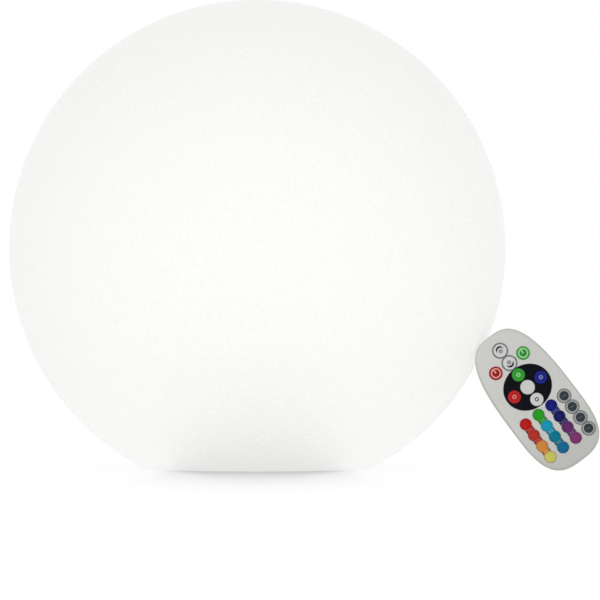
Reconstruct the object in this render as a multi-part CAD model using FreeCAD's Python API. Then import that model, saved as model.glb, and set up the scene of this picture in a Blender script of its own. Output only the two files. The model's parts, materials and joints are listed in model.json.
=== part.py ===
"""Garden globe light: a glowing ball with a flat base, its sealed light module and its card handset.

Millimetres. The origin is the centre of the flat base, on the ground. +Z is up, and -Y is the side
that the handset's face looks to. The handset leans against the globe's right flank, at +X.
"""
import FreeCAD, Part
import math
import os

Vector = FreeCAD.Vector
UP = Vector(0, 0, 1)

# Globe
globe_diameter = 280.0
globe_wall = 3.0
foot_width = 6.83
ledge_width = 11.0
ledge_thickness = 3.0
base_corner_radius = 1.2
shell_boss_radius = 4.0
shell_boss_height = 8.0

# Light module: flange, cup and deck
flange_thickness = 2.4
flange_clearance = 0.4
shell_gasket_thickness = 1.0
cup_clearance = 0.5
cup_wall = 2.0
cup_height = 43.2
deck_thickness = 2.0
dome_rim_height = 2.4
dome_rim_width = 2.0

# Base cover
cover_thickness = 2.6
cover_gap = 0.4
cover_lip = 0.3
cover_gasket_thickness = 1.0
seat_width = 7.3
seat_thickness = 2.0
cover_boss_radius = 3.0
cover_boss_height = 5.6

# Screws: two countersunk kinds outside, one pan-head kind inside
countersunk_head_radius = 2.8
countersunk_head_height = 1.4
countersunk_shank_radius = 1.45
flange_screw_length = 10.0
flange_screw_inset = 5.5
flange_screw_count = 6
cover_screw_length = 8.0
cover_screw_inset = 4.1
cover_screw_count = 4
pan_head_radius = 2.25
pan_head_height = 1.6
pan_shank_radius = 1.2
pan_screw_length = 8.0
thread_clearance = 0.05
hole_clearance = 0.25
drive_slot_width = 0.7
drive_slot_depth = 0.8
drive_slot_margin = 1.0

# Control board on three posts of the base cover
board_room = 8.5
board_thickness = 1.6
board_height_over_cover = 9.1
post_radius = 3.0
post_inset = 5.0
post_angles = (30, 150, 270)
pilot_spare = 0.6

# Battery: two round cells in a cradle under the deck
cell_radius = 9.2
cell_length = 65.0
cell_gap = 0.4
cell_corner_room = 5.88
cell_headroom = 1.6
cell_fit = 0.1
tab_thickness = 0.2
tab_width = 8.0
cradle_inset = 7.5
cradle_height = 7.0
cradle_wall = 2.0
cradle_floor = 2.0
cradle_ear_width = 10.0
cradle_ear_thickness = 2.5
cradle_boss_offset = 24.0
inner_boss_radius = 3.0

# Lamp board, its chips, the receiver and the clear dome
lamp_board_radius = 32.0
lamp_screw_inset = 4.0
lamp_screw_angles = (60, 120, 240, 300)
chip_size = 5.0
chip_height = 1.4
chip_rings = ((20.0, 12), (9.5, 4))
receiver_width = 6.0
receiver_depth = 5.0
receiver_height = 8.0
receiver_leg_length = 2.5
receiver_leg_pitch = 2.0
receiver_leg_width = 0.5
dome_foot_width = 3.0
dome_foot_height = 2.0
dome_height = 24.0
dome_wall = 1.6
dome_fit = 0.2

# Leads
battery_lead_radius = 0.7
battery_lead_bend = 2.5
battery_lead_reach = 4.0
battery_lead_landing = 30.0
battery_lead_level = 5.0
lamp_lead_radius = 0.6
lamp_lead_pitch = 2.2
lamp_lead_count = 4
lamp_lead_inset = 1.6
lamp_lead_slot_margin = 0.8

# Base button, its switch and its seal
button_x = -18.0
button_radius = 6.0
button_clearance = 0.15
button_recess = 0.2
button_travel = 1.0
button_flange_radius = 7.8
button_flange_thickness = 1.0
button_stem_radius = 2.0
button_seal_width = 1.4
button_seal_thickness = 0.6
moving_gap = 0.1
switch_size = 6.0
switch_height = 5.0
plunger_radius = 1.7
plunger_length = 2.2
plunger_spare = 0.4

# Charging socket and its hinged stopper
jack_x = 18.0
jack_width = 9.0
jack_depth = 11.0
jack_nose_radius = 4.2
jack_nose_clearance = 0.1
jack_bore_radius = 2.8
jack_bore_depth = 9.0
jack_pin_radius = 1.0
jack_pin_recess = 1.8
stopper_radius = 5.5
stopper_thickness = 1.5
stopper_clearance = 0.3
stopper_plug_radius = 2.4
stopper_plug_length = 1.6
stopper_hinge_distance = 9.5
stopper_hinge_radius = 0.7
stopper_hinge_length = 6.0
stopper_strap_width = 4.0

# Charge light
light_inset = 13.0
light_radius = 1.5
light_flange_radius = 2.5
light_flange_thickness = 1.0
light_clearance = 0.1
status_chip_height = 0.8

# Parts on the control board: centre x, centre y, width, depth, height
board_boxes = (
    (-8.0, 12.0, 10.0, 8.0, 1.6),
    (12.0, 14.0, 7.0, 7.0, 4.0),
    (8.0, -14.0, 5.0, 6.0, 1.5),
    (-18.0, -12.0, 8.0, 5.0, 3.2),
)
board_cans = ((-20.0, 8.0), (20.0, -12.0))
can_radius = 3.15
can_height = 5.4

# Handset body
handset_thickness = 7.6
handset_waist = -11.0
handset_squareness = 3.0
outline_points = 48
handset_split = 4.6
handset_wall = 1.4
handset_floor = 1.0
handset_plate = 1.2
front_edge_radius = 1.4
back_edge_radius = 2.2
lip_height = 0.8
lip_thickness = 0.7
lip_clearance = 0.15

# Handset board, its chip and the emitter
handset_board_gap = 1.2
handset_board_thickness = 0.8
handset_post_radius = 2.0
handset_posts = ((-11.0, 27.0), (11.0, 27.0), (-11.0, -5.0), (11.0, -5.0))
handset_chip = (0.0, 9.0, 8.0, 6.0, 1.5)
emitter_radius = 1.5
emitter_level = 3.5
emitter_flange_radius = 1.8
emitter_flange_thickness = 0.8
emitter_length = 5.9
emitter_recess = 0.1
emitter_clearance = 0.1
emitter_lead_length = 1.0
emitter_lead_width = 0.5
emitter_lead_spacing = 1.27
emitter_notch_width = 4.4

# Coin cell and its tray
coin_radius = 10.0
coin_thickness = 2.5
coin_inset = 13.5
coin_clearance = 0.15
tray_width = 22.8
tray_reach = 13.0
tray_floor = 0.5
tray_clearance = 0.1
rail_thickness = 1.2
rail_reach = 2.5
contact_gap = 0.06
contact_thickness = 0.2
contact_width = 3.0
contact_length = 9.0
contact_offsets = (-5.0, 4.0)

# Handset keys
key_travel = 0.5
key_clearance = 0.15
key_flange_overlap = 0.2
key_flange_thickness = 0.4
key_edge_rise = 0.45
key_crown_rise = 1.0
key_web_thickness = 0.4
key_web_clearance = 0.1
key_web_foot = 0.8
round_key_radius = 3.7
grid_key_radius = 3.25
grid_count = 4
grid_pitch_u = 8.9
side_margin = 8.05
top_margin = 10.0
upper_row_step = 8.7
panel_step = 16.8
grid_step = 16.05
grid_pitch_v = 7.55
bottom_margin = 11.8
panel_half_width = 14.05
panel_half_height = 12.6
panel_thickness = 0.35
panel_recess = 0.2
panel_fit = 0.1
panel_hub_radius = 4.1
panel_key_reach_u = 9.2
panel_key_reach_v = 8.55
side_key_u = 9.5

# How the handset leans: its roll towards the globe, its lean back, and how far it stands in front
handset_roll = 36.8
handset_lean = 6.0
handset_forward = 36.0
handset_touch = 0.3
seat_tolerance = 0.001
seat_tries = 20
edge_tolerance = 0.01

# Levels and radii that follow
ground = 0.0
globe_radius = globe_diameter / 2
flange_top = ground + flange_thickness
ledge_level = flange_top + shell_gasket_thickness
ledge_top = ledge_level + ledge_thickness
cell_offset = cell_radius + cell_gap / 2
cell_corner_radius = math.hypot(cell_length / 2 + tab_thickness, cell_offset + cell_radius)
cup_inner_radius = cell_corner_radius + cell_corner_room
cup_radius = cup_inner_radius + cup_wall
shell_hole_radius = cup_radius + cup_clearance
recess_radius = shell_hole_radius + ledge_width
base_radius = recess_radius + foot_width
centre_height = math.sqrt(globe_radius ** 2 - base_radius ** 2)
flange_radius = recess_radius - flange_clearance
flange_screw_circle = shell_hole_radius + flange_screw_inset
cover_screw_circle = cup_inner_radius - cover_screw_inset
board_radius = cup_inner_radius - board_room
post_circle = board_radius - post_inset
light_y = light_inset - board_radius
deck_top = ground + cup_height
deck_level = deck_top - deck_thickness
cover_top = ground + cover_thickness
seat_level = cover_top + cover_gasket_thickness
seat_top = seat_level + seat_thickness
cover_opening_radius = cup_inner_radius - cover_lip
cover_radius = cover_opening_radius - cover_gap
seat_inner_radius = cup_inner_radius - seat_width
board_level = cover_top + board_height_over_cover
board_top = board_level + board_thickness
cell_level = deck_level - cell_headroom - cell_radius
cradle_length = cell_length - 2 * cradle_inset
cradle_low = cell_level - cell_radius - cradle_floor
cradle_high = cradle_low + cradle_height
lamp_board_top = deck_top + board_thickness
lamp_screw_circle = lamp_board_radius - lamp_screw_inset
lamp_lead_offset = lamp_board_radius - lamp_lead_inset
dome_foot_radius = cup_radius - dome_rim_width - dome_fit
dome_rim_inner_radius = cup_radius - dome_rim_width
seal_top = cover_top + button_seal_thickness
button_flange_level = seal_top + moving_gap
switch_level = board_level - switch_height
plunger_level = switch_level - button_travel - moving_gap
stopper_low = ground + moving_gap
stopper_top = stopper_low + stopper_thickness
stopper_recess_top = stopper_top + moving_gap
stopper_hinge_x = jack_x + stopper_hinge_distance
stopper_hinge_z = stopper_low + stopper_thickness / 2
grid_height = (grid_count - 1) * grid_pitch_v
handset_width = (grid_count - 1) * grid_pitch_u + 2 * side_margin
handset_length = top_margin + upper_row_step + panel_step + grid_step + grid_height + bottom_margin
handset_half_width = handset_width / 2
upper_key_v = handset_length / 2 - top_margin
middle_key_v = upper_key_v - upper_row_step
panel_centre_v = middle_key_v - panel_step
grid_top_v = panel_centre_v - grid_step
coin_v = coin_inset - handset_length / 2
tray_inner_end = coin_v + tray_reach
rail_end = tray_inner_end + rail_reach
plate_under = handset_thickness - handset_plate
key_low = plate_under - moving_gap - key_flange_thickness
handset_board_top = key_low - key_travel - moving_gap
handset_board_seat = handset_board_top - handset_board_thickness
tray_low = handset_floor + tray_clearance
tray_top = tray_low + tray_floor + coin_thickness
slot_top = tray_top + tray_clearance


def disc(radius, low, high, x=0.0, y=0.0):
    """An upright round solid between two levels."""
    return Part.makeCylinder(radius, high - low, Vector(x, y, low))


def ring(outer, inner, low, high, x=0.0, y=0.0):
    """An upright round tube between two levels."""
    return disc(outer, low, high, x, y).cut(disc(inner, low, high, x, y))


def block(x, y, width, depth, low, high):
    """An upright box centred on x, y."""
    corner = Vector(x - width / 2, y - depth / 2, low)
    return Part.makeBox(width, depth, high - low, corner)


def polar(radius, angle):
    """The x and y of a point on a circle about the origin, the angle in degrees."""
    return radius * math.cos(math.radians(angle)), radius * math.sin(math.radians(angle))


def round_the_circle(radius, count):
    """Evenly spaced points on a circle."""
    return [polar(radius, 360 * i / count) for i in range(count)]


def turned(points):
    """The solid swept by a closed outline of (radius, height) points turned about Z."""
    corners = [Vector(r, 0, z) for r, z in points]
    outline = Part.makePolygon(corners + corners[:1])
    return Part.Face(outline).revolve(Vector(), UP, 360)


def cut_all(body, tools):
    """The body less every tool."""
    return body.cut(Part.makeCompound(tools))


def fuse_all(body, others):
    """One solid of the body and the others."""
    return body.fuse(others).removeSplitter()


def countersunk_screw(x, y, length):
    """A countersunk screw driven upwards from the underside, with a crossed slot in its head."""
    low = ground
    head = Part.makeCone(
        countersunk_head_radius, countersunk_shank_radius, countersunk_head_height, Vector(x, y, low)
    )
    shank = disc(countersunk_shank_radius, low, low + length, x, y)
    return cut_all(fuse_all(head, [shank]), crossed_slot(x, y, low, countersunk_head_radius))


def crossed_slot(x, y, low, head_radius):
    """The crossed driver slot of a screw head, from a level upwards."""
    reach = 2 * (head_radius - drive_slot_margin)
    high = low + drive_slot_depth
    across = block(x, y, reach, drive_slot_width, low, high)
    along = block(x, y, drive_slot_width, reach, low, high)
    return [across.fuse(along)]


def countersink(x, y):
    """The tapered hole that such a screw sits in, through a plate."""
    cone = Part.makeCone(
        countersunk_head_radius + hole_clearance,
        countersunk_shank_radius + hole_clearance,
        countersunk_head_height,
        Vector(x, y, ground),
    )
    hole = disc(countersunk_shank_radius + hole_clearance, ground, seat_top, x, y)
    return cone.fuse(hole)


def pan_screw(x, y, seat, direction):
    """A pan-head screw whose head rests at the seat level; direction is 1 for a shank that points up."""
    head = disc(pan_head_radius, 0, pan_head_height)
    shank = disc(pan_shank_radius, pan_head_height, pan_head_height + pan_screw_length)
    screw = cut_all(head.fuse(shank), crossed_slot(0, 0, 0, pan_head_radius))
    if direction < 0:
        screw.rotate(Vector(), Vector(1, 0, 0), 180)
    screw.translate(Vector(x, y, seat - direction * pan_head_height))
    return screw


def lead(points, radius, bend):
    """A round lead along straight runs joined by equal arcs."""
    edges = []
    start = points[0]
    for before, corner, after in zip(points, points[1:], points[2:]):
        way_in = (corner - before).normalize()
        way_out = (after - corner).normalize()
        half_turn = way_in.getAngle(way_out) / 2
        setback = bend * math.tan(half_turn)
        arc_start = corner - way_in * setback
        arc_end = corner + way_out * setback
        inward = (way_out - way_in).normalize()
        middle = corner + inward * (bend / math.cos(half_turn) - bend)
        edges.append(Part.LineSegment(start, arc_start).toShape())
        edges.append(Part.Arc(arc_start, middle, arc_end).toShape())
        start = arc_end
    edges.append(Part.LineSegment(start, points[-1]).toShape())
    section = Part.Wire(Part.makeCircle(radius, points[0], points[1] - points[0]))
    return Part.Wire(edges).makePipeShell([section], True, False)


def globe_shell():
    """The moulded ball: a thin sphere cut flat, with a stepped ledge round its base opening."""
    centre = Vector(0, 0, centre_height)
    outer = Part.makeSphere(globe_radius, centre)
    outer = outer.cut(block(0, 0, 2 * globe_diameter, 2 * globe_diameter, -globe_diameter, ground))
    corner = [e for e in outer.Edges if abs(e.BoundBox.ZMax) < seat_tolerance and not e.Degenerated]
    outer = outer.makeFillet(base_corner_radius, corner)
    hollow = Part.makeSphere(globe_radius - globe_wall, centre)
    hollow = hollow.cut(block(0, 0, 2 * globe_diameter, 2 * globe_diameter, -globe_diameter, globe_wall))
    step = disc(recess_radius + globe_wall, 0, ledge_top)
    bosses = [
        disc(shell_boss_radius, ledge_level, ledge_top + shell_boss_height, x, y)
        for x, y in round_the_circle(flange_screw_circle, flange_screw_count)
    ]
    shell = outer.cut(hollow.cut(Part.makeCompound([step])))
    shell = fuse_all(shell, bosses)
    recess = disc(recess_radius, 0, ledge_level)
    opening = disc(shell_hole_radius, 0, ledge_top)
    pilots = [
        disc(countersunk_shank_radius + thread_clearance, ledge_level,
             ground + flange_screw_length + pilot_spare, x, y)
        for x, y in round_the_circle(flange_screw_circle, flange_screw_count)
    ]
    return cut_all(shell, [recess, opening] + pilots)


def shell_gasket():
    """The soft ring squeezed between the ledge and the module's flange."""
    holes = [
        disc(countersunk_shank_radius + hole_clearance, flange_top, ledge_level, x, y)
        for x, y in round_the_circle(flange_screw_circle, flange_screw_count)
    ]
    return cut_all(ring(flange_radius, shell_hole_radius, flange_top, ledge_level), holes)


def module_housing():
    """The module's cup, turned in one piece with its flange, its cover seat and its deck."""
    cup = turned([
        (cover_opening_radius, ground),
        (flange_radius, ground),
        (flange_radius, flange_top),
        (cup_radius, flange_top),
        (cup_radius, deck_top + dome_rim_height),
        (dome_rim_inner_radius, deck_top + dome_rim_height),
        (dome_rim_inner_radius, deck_top),
        (0, deck_top),
        (0, deck_level),
        (cup_inner_radius, deck_level),
        (cup_inner_radius, seat_top),
        (seat_inner_radius, seat_top),
        (seat_inner_radius, seat_level),
        (cover_opening_radius, seat_level),
    ])
    cover_places = cover_screw_places()
    boss_top = seat_top + cover_boss_height
    bosses = [disc(cover_boss_radius, seat_level, boss_top, x, y) for x, y in cover_places]
    bosses += [disc(inner_boss_radius, cradle_high, deck_top, 0, y) for y in cradle_boss_rows()]
    bosses += [disc(inner_boss_radius, lamp_boss_low(), deck_top, x, y) for x, y in lamp_screw_places()]
    housing = fuse_all(cup, bosses)
    cover_pilots = [
        disc(countersunk_shank_radius + thread_clearance, seat_level,
             ground + cover_screw_length + pilot_spare, x, y)
        for x, y in cover_places
    ]
    cradle_pilots = [
        disc(pan_shank_radius + thread_clearance, cradle_high,
             cradle_high - cradle_ear_thickness + pan_screw_length + pilot_spare, 0, y)
        for y in cradle_boss_rows()
    ]
    lamp_pilot_low = lamp_board_top - pan_screw_length - pilot_spare
    lamp_pilots = [
        disc(pan_shank_radius + thread_clearance, lamp_pilot_low, deck_top, x, y)
        for x, y in lamp_screw_places()
    ]
    flange_holes = [countersink(x, y) for x, y in round_the_circle(flange_screw_circle, flange_screw_count)]
    return cut_all(housing, cover_pilots + cradle_pilots + lamp_pilots + flange_holes + [lamp_lead_slot()])


def cover_screw_places():
    """Where the base cover's screws stand, between the posts."""
    return [polar(cover_screw_circle, 45 + 360 * i / cover_screw_count) for i in range(cover_screw_count)]


def cradle_boss_rows():
    """The two bosses that carry the battery cradle, one each side of the cells."""
    return (-cradle_boss_offset, cradle_boss_offset)


def lamp_screw_places():
    """Where the lamp board's screws stand, clear of the cells."""
    return [polar(lamp_screw_circle, angle) for angle in lamp_screw_angles]


def lamp_boss_low():
    """The foot of the bosses that the lamp board's screws enter."""
    return lamp_board_top - pan_screw_length - 2 * pilot_spare


def lamp_lead_slot():
    """The slot in the deck that the lamp leads come up through."""
    width = (lamp_lead_count - 1) * lamp_lead_pitch + 2 * (lamp_lead_radius + lamp_lead_slot_margin)
    depth = 2 * (lamp_lead_radius + lamp_lead_slot_margin)
    return block(0, lamp_lead_offset, width, depth, deck_level, deck_top)


def flange_screws():
    """The screws that hold the module's flange to the globe."""
    places = round_the_circle(flange_screw_circle, flange_screw_count)
    return [countersunk_screw(x, y, flange_screw_length) for x, y in places]


def base_cover():
    """The round cover under the module, with the board's posts and the button and socket openings."""
    plate = disc(cover_radius, ground, cover_top)
    posts = [disc(post_radius, cover_top, board_level, x, y) for x, y in post_places()]
    cover = fuse_all(plate, posts)
    pilot_low = board_top - pan_screw_length - pilot_spare
    pilots = [
        disc(pan_shank_radius + thread_clearance, pilot_low, board_level, x, y)
        for x, y in post_places()
    ]
    screw_holes = [countersink(x, y) for x, y in cover_screw_places()]
    button_hole = disc(button_radius + button_clearance, ground, cover_top, button_x)
    light_hole = disc(light_radius + light_clearance, ground, cover_top, 0, light_y)
    nose_hole = disc(jack_nose_radius + jack_nose_clearance, ground, cover_top, jack_x)
    cap_recess = disc(stopper_radius + stopper_clearance, ground, stopper_recess_top, jack_x)
    strap_slot_width = stopper_strap_width + 2 * stopper_clearance
    strap_slot = block(
        (jack_x + stopper_hinge_x) / 2, 0, stopper_hinge_distance, strap_slot_width,
        ground, stopper_recess_top,
    )
    knuckle_radius = stopper_hinge_radius + moving_gap
    knuckle = stopper_knuckle(knuckle_radius, stopper_hinge_length + 2 * stopper_clearance)
    knuckle_slot = block(
        stopper_hinge_x, 0, 2 * knuckle_radius, stopper_hinge_length + 2 * stopper_clearance,
        ground, stopper_hinge_z,
    )
    openings = [button_hole, light_hole, nose_hole, cap_recess, strap_slot, knuckle, knuckle_slot]
    return cut_all(cover, pilots + screw_holes + openings)


def post_places():
    """Where the control board's posts stand."""
    return [polar(post_circle, angle) for angle in post_angles]


def stopper_knuckle(radius, length):
    """A round bar along the stopper's hinge."""
    start = Vector(stopper_hinge_x, -length / 2, stopper_hinge_z)
    return Part.makeCylinder(radius, length, start, Vector(0, 1, 0))


def cover_gasket():
    """The soft ring between the base cover and its seat."""
    holes = [
        disc(countersunk_shank_radius + hole_clearance, cover_top, seat_level, x, y)
        for x, y in cover_screw_places()
    ]
    return cut_all(ring(cover_radius, seat_inner_radius, cover_top, seat_level), holes)


def cover_screws():
    """The screws that hold the base cover."""
    return [countersunk_screw(x, y, cover_screw_length) for x, y in cover_screw_places()]


def inner_screws():
    """The pan-head screws of the control board, the battery cradle and the lamp board."""
    board = [pan_screw(x, y, board_top, -1) for x, y in post_places()]
    cradle = [pan_screw(0, y, cradle_high - cradle_ear_thickness, 1) for y in cradle_boss_rows()]
    lamp = [pan_screw(x, y, lamp_board_top, -1) for x, y in lamp_screw_places()]
    return board + cradle + lamp


def battery_cells():
    """Two round cells side by side, each with its raised end."""
    cells = []
    for y in (-cell_offset, cell_offset):
        start = Vector(-cell_length / 2, y, cell_level)
        cells.append(Part.makeCylinder(cell_radius, cell_length, start, Vector(1, 0, 0)))
    return cells


def cell_tabs():
    """The welded strips that join the two cells at each end."""
    tabs = []
    for x in (-(cell_length + tab_thickness) / 2, (cell_length + tab_thickness) / 2):
        low = cell_level - tab_width / 2
        tabs.append(block(x, 0, tab_thickness, 2 * cell_offset + tab_width, low, low + tab_width))
    return tabs


def battery_cradle():
    """The trough under the cells, hung on two bosses by its ears."""
    width = 2 * (cell_offset + cell_radius + cell_fit + cradle_wall)
    body = block(0, 0, cradle_length, width, cradle_low, cradle_high)
    ears = block(
        0, 0, cradle_ear_width, 2 * (cradle_boss_offset + inner_boss_radius),
        cradle_high - cradle_ear_thickness, cradle_high,
    )
    troughs = []
    for y in (-cell_offset, cell_offset):
        start = Vector(-cell_length / 2, y, cell_level)
        troughs.append(Part.makeCylinder(cell_radius + cell_fit, cell_length, start, Vector(1, 0, 0)))
    hole_radius = pan_shank_radius + hole_clearance
    holes = [disc(hole_radius, cradle_low, cradle_high, 0, y) for y in cradle_boss_rows()]
    heads = [
        disc(pan_head_radius + hole_clearance, cradle_low, cradle_high - cradle_ear_thickness, 0, y)
        for y in cradle_boss_rows()
    ]
    return cut_all(fuse_all(body, [ears]), troughs + holes + heads)


def battery_leads():
    """Two leads from the cells' tabs round to the control board."""
    leads = []
    near = cell_length / 2 + tab_thickness
    far = near + battery_lead_reach
    level = board_top + battery_lead_level
    for y in (-cell_offset, cell_offset):
        route = [
            Vector(near, y, cell_level),
            Vector(far, y, cell_level),
            Vector(far, y, level),
            Vector(battery_lead_landing, y, level),
            Vector(battery_lead_landing, y, board_top),
        ]
        leads.append(lead(route, battery_lead_radius, battery_lead_bend))
    return leads


def lamp_leads():
    """The leads from the control board straight up through the deck to the lamp board."""
    first = -(lamp_lead_count - 1) * lamp_lead_pitch / 2
    return [
        disc(lamp_lead_radius, board_top, deck_top, first + i * lamp_lead_pitch, lamp_lead_offset)
        for i in range(lamp_lead_count)
    ]


def control_board():
    """The round board over the base cover."""
    holes = [disc(pan_shank_radius + hole_clearance, board_level, board_top, x, y) for x, y in post_places()]
    return cut_all(disc(board_radius, board_level, board_top), holes)


def board_parts():
    """The chips, the coil and the cans on the control board, and the status chip under it."""
    parts = [block(x, y, w, d, board_top, board_top + h) for x, y, w, d, h in board_boxes]
    parts += [disc(can_radius, board_top, board_top + can_height, x, y) for x, y in board_cans]
    side = 2 * light_radius
    parts.append(block(0, light_y, side, side, board_level - status_chip_height, board_level))
    return parts


def power_switch():
    """The push switch under the board, with the bore that its plunger runs in."""
    body = block(button_x, 0, switch_size, switch_size, switch_level, board_level)
    bore_top = plunger_level + plunger_length + button_travel + plunger_spare
    bore = disc(plunger_radius + moving_gap, switch_level, bore_top, button_x)
    return body.cut(bore)


def switch_plunger():
    """The switch's plunger, which rides on the button's stem."""
    return disc(plunger_radius, plunger_level, plunger_level + plunger_length, button_x)


def power_button():
    """The round base button: cap in the cover, flange behind it and a stem up to the plunger."""
    cap = disc(button_radius, ground + button_recess, button_flange_level, button_x)
    flange = disc(
        button_flange_radius, button_flange_level, button_flange_level + button_flange_thickness, button_x
    )
    stem = disc(button_stem_radius, button_flange_level, plunger_level, button_x)
    return fuse_all(cap, [flange, stem])


def button_seal():
    """The soft ring that the button's flange rests over."""
    inner = button_radius + button_clearance + moving_gap
    return ring(inner + button_seal_width, inner, cover_top, seal_top, button_x)


def charge_jack():
    """The charging socket: block on the board, round nose in the cover, bore and centre pin."""
    body = block(jack_x, 0, jack_width, jack_depth, cover_top, board_level)
    nose = disc(jack_nose_radius, stopper_recess_top, cover_top, jack_x)
    bore = disc(jack_bore_radius, stopper_recess_top, stopper_recess_top + jack_bore_depth, jack_x)
    pin_low = stopper_recess_top + jack_pin_recess
    pin = disc(jack_pin_radius, pin_low, stopper_recess_top + jack_bore_depth, jack_x)
    return fuse_all(fuse_all(body, [nose]).cut(bore), [pin])


def jack_stopper():
    """The rubber stopper: cap, short plug, strap and hinge bar."""
    cap = disc(stopper_radius, stopper_low, stopper_top, jack_x)
    plug = disc(stopper_plug_radius, stopper_top, stopper_top + stopper_plug_length, jack_x)
    strap = block(
        (jack_x + stopper_hinge_x) / 2, 0, stopper_hinge_distance, stopper_strap_width,
        stopper_hinge_z - stopper_hinge_radius, stopper_hinge_z + stopper_hinge_radius,
    )
    return fuse_all(cap, [plug, strap, stopper_knuckle(stopper_hinge_radius, stopper_hinge_length)])


def charge_light():
    """The clear rod that shows the status chip at the underside."""
    rod = disc(light_radius, ground + moving_gap, board_level - status_chip_height - moving_gap, 0, light_y)
    flange = disc(light_flange_radius, cover_top, cover_top + light_flange_thickness, 0, light_y)
    return fuse_all(rod, [flange])


def lamp_board():
    """The round board on the deck that carries the lamp chips."""
    hole_radius = pan_shank_radius + hole_clearance
    holes = [disc(hole_radius, deck_top, lamp_board_top, x, y) for x, y in lamp_screw_places()]
    return cut_all(disc(lamp_board_radius, deck_top, lamp_board_top), holes)


def lamp_chips():
    """The colour chips in two rings."""
    chips = []
    for radius, count in chip_rings:
        for i in range(count):
            chip = block(radius, 0, chip_size, chip_size, lamp_board_top, lamp_board_top + chip_height)
            chip.rotate(Vector(), UP, 360 * i / count)
            chips.append(chip)
    return chips


def ir_receiver():
    """The receiver that stands on the lamp board: body, round eye and three legs."""
    low = lamp_board_top + receiver_leg_length
    body = block(0, 0, receiver_width, receiver_depth, low, low + receiver_height)
    eye = Part.makeSphere(receiver_depth / 2, Vector(0, -receiver_depth / 4, low + receiver_height / 2))
    legs = [
        block(x, 0, receiver_leg_width, receiver_leg_width, lamp_board_top, low)
        for x in (-receiver_leg_pitch, 0, receiver_leg_pitch)
    ]
    return fuse_all(body, [eye] + legs)


def lamp_dome():
    """The clear dome over the lamp board, with a foot inside the deck's rim."""
    foot_top = deck_top + dome_foot_height
    inner_foot = dome_foot_radius - dome_foot_width
    radius = (inner_foot ** 2 + dome_height ** 2) / (2 * dome_height)
    centre = Vector(0, 0, foot_top + dome_height - radius)
    cap = Part.makeSphere(radius, centre).cut(Part.makeSphere(radius - dome_wall, centre))
    below = disc(2 * cup_radius, centre.z - 2 * radius, foot_top)
    foot = ring(dome_foot_radius, inner_foot - dome_wall, deck_top, foot_top)
    return fuse_all(cap.cut(below), [foot])


def handset_outline(inset, low, high):
    """The handset's rounded outline, drawn in by an inset, as a solid between two levels."""
    half = handset_half_width - inset
    top = handset_length / 2 - handset_waist - inset
    bottom = handset_length / 2 + handset_waist - inset
    power = 2 / handset_squareness
    points = []
    for i in range(outline_points):
        angle = 2 * math.pi * i / outline_points
        across = math.copysign(abs(math.cos(angle)) ** power, math.cos(angle))
        along = math.copysign(abs(math.sin(angle)) ** power, math.sin(angle))
        reach = top if along > 0 else bottom
        points.append(Vector(half * across, handset_waist + reach * along, low))
    curve = Part.BSplineCurve()
    curve.interpolate(points, PeriodicFlag=True)
    return Part.Face(Part.Wire(curve.toShape())).extrude(Vector(0, 0, high - low))


def rim_edges(solid, level):
    """The outline edges of a handset solid at a level."""
    return [
        e for e in solid.Edges
        if max(abs(e.BoundBox.ZMin - level), abs(e.BoundBox.ZMax - level)) < edge_tolerance
    ]


def handset_outside():
    """The whole outside of the handset, with rounded front and back edges."""
    solid = handset_outline(0, 0, handset_thickness)
    solid = solid.makeFillet(back_edge_radius, rim_edges(solid, 0))
    return solid.makeFillet(front_edge_radius, rim_edges(solid, handset_thickness))


def tray_slot():
    """The slot at the handset's end that the battery tray slides in."""
    length = handset_length / 2 + tray_inner_end + 2 * tray_clearance
    width = tray_width + 2 * tray_clearance
    middle = tray_inner_end + tray_clearance - length / 2
    return block(0, middle, width, length, handset_floor, slot_top)


def emitter_bore():
    """The round opening for the emitter at the handset's top end, across both shells."""
    start = Vector(0, emitter_back_v(), emitter_level)
    reach = handset_length / 2 - emitter_back_v()
    return Part.makeCylinder(emitter_radius + emitter_clearance, 2 * reach, start, Vector(0, 1, 0))


def emitter_back_v():
    """Where the emitter's flange starts."""
    return handset_length / 2 - emitter_recess - emitter_length


def handset_back_shell():
    """The handset's back: floor, side wall, board posts and the tray's rails."""
    below_split = block(0, 0, 2 * handset_length, 2 * handset_length, 0, handset_split)
    shell = handset_outside().common(below_split)
    shell = shell.cut(handset_outline(handset_wall, handset_floor, handset_split))
    posts = [disc(handset_post_radius, handset_floor, handset_board_seat, u, v) for u, v in handset_posts]
    rail_u = tray_width / 2 + tray_clearance + rail_thickness / 2
    rail_length = handset_length / 2 + rail_end
    rails = [
        block(u, rail_end - rail_length / 2, rail_thickness, rail_length, handset_floor, handset_board_seat)
        for u in (-rail_u, rail_u)
    ]
    inside = handset_outline(handset_wall, handset_floor, handset_split)
    rails = [rail.common(inside).cut(handset_lip_space()) for rail in rails]
    shell = fuse_all(shell, posts + rails)
    return cut_all(shell, [tray_slot(), emitter_bore()])


def handset_lip_space():
    """The room that the front shell's lip needs inside the back shell."""
    low = handset_split - lip_height - lip_clearance
    outer = handset_outline(handset_wall, low, handset_split)
    inner = handset_outline(handset_wall + 2 * lip_clearance + lip_thickness, low, handset_split)
    return outer.cut(inner)


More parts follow.
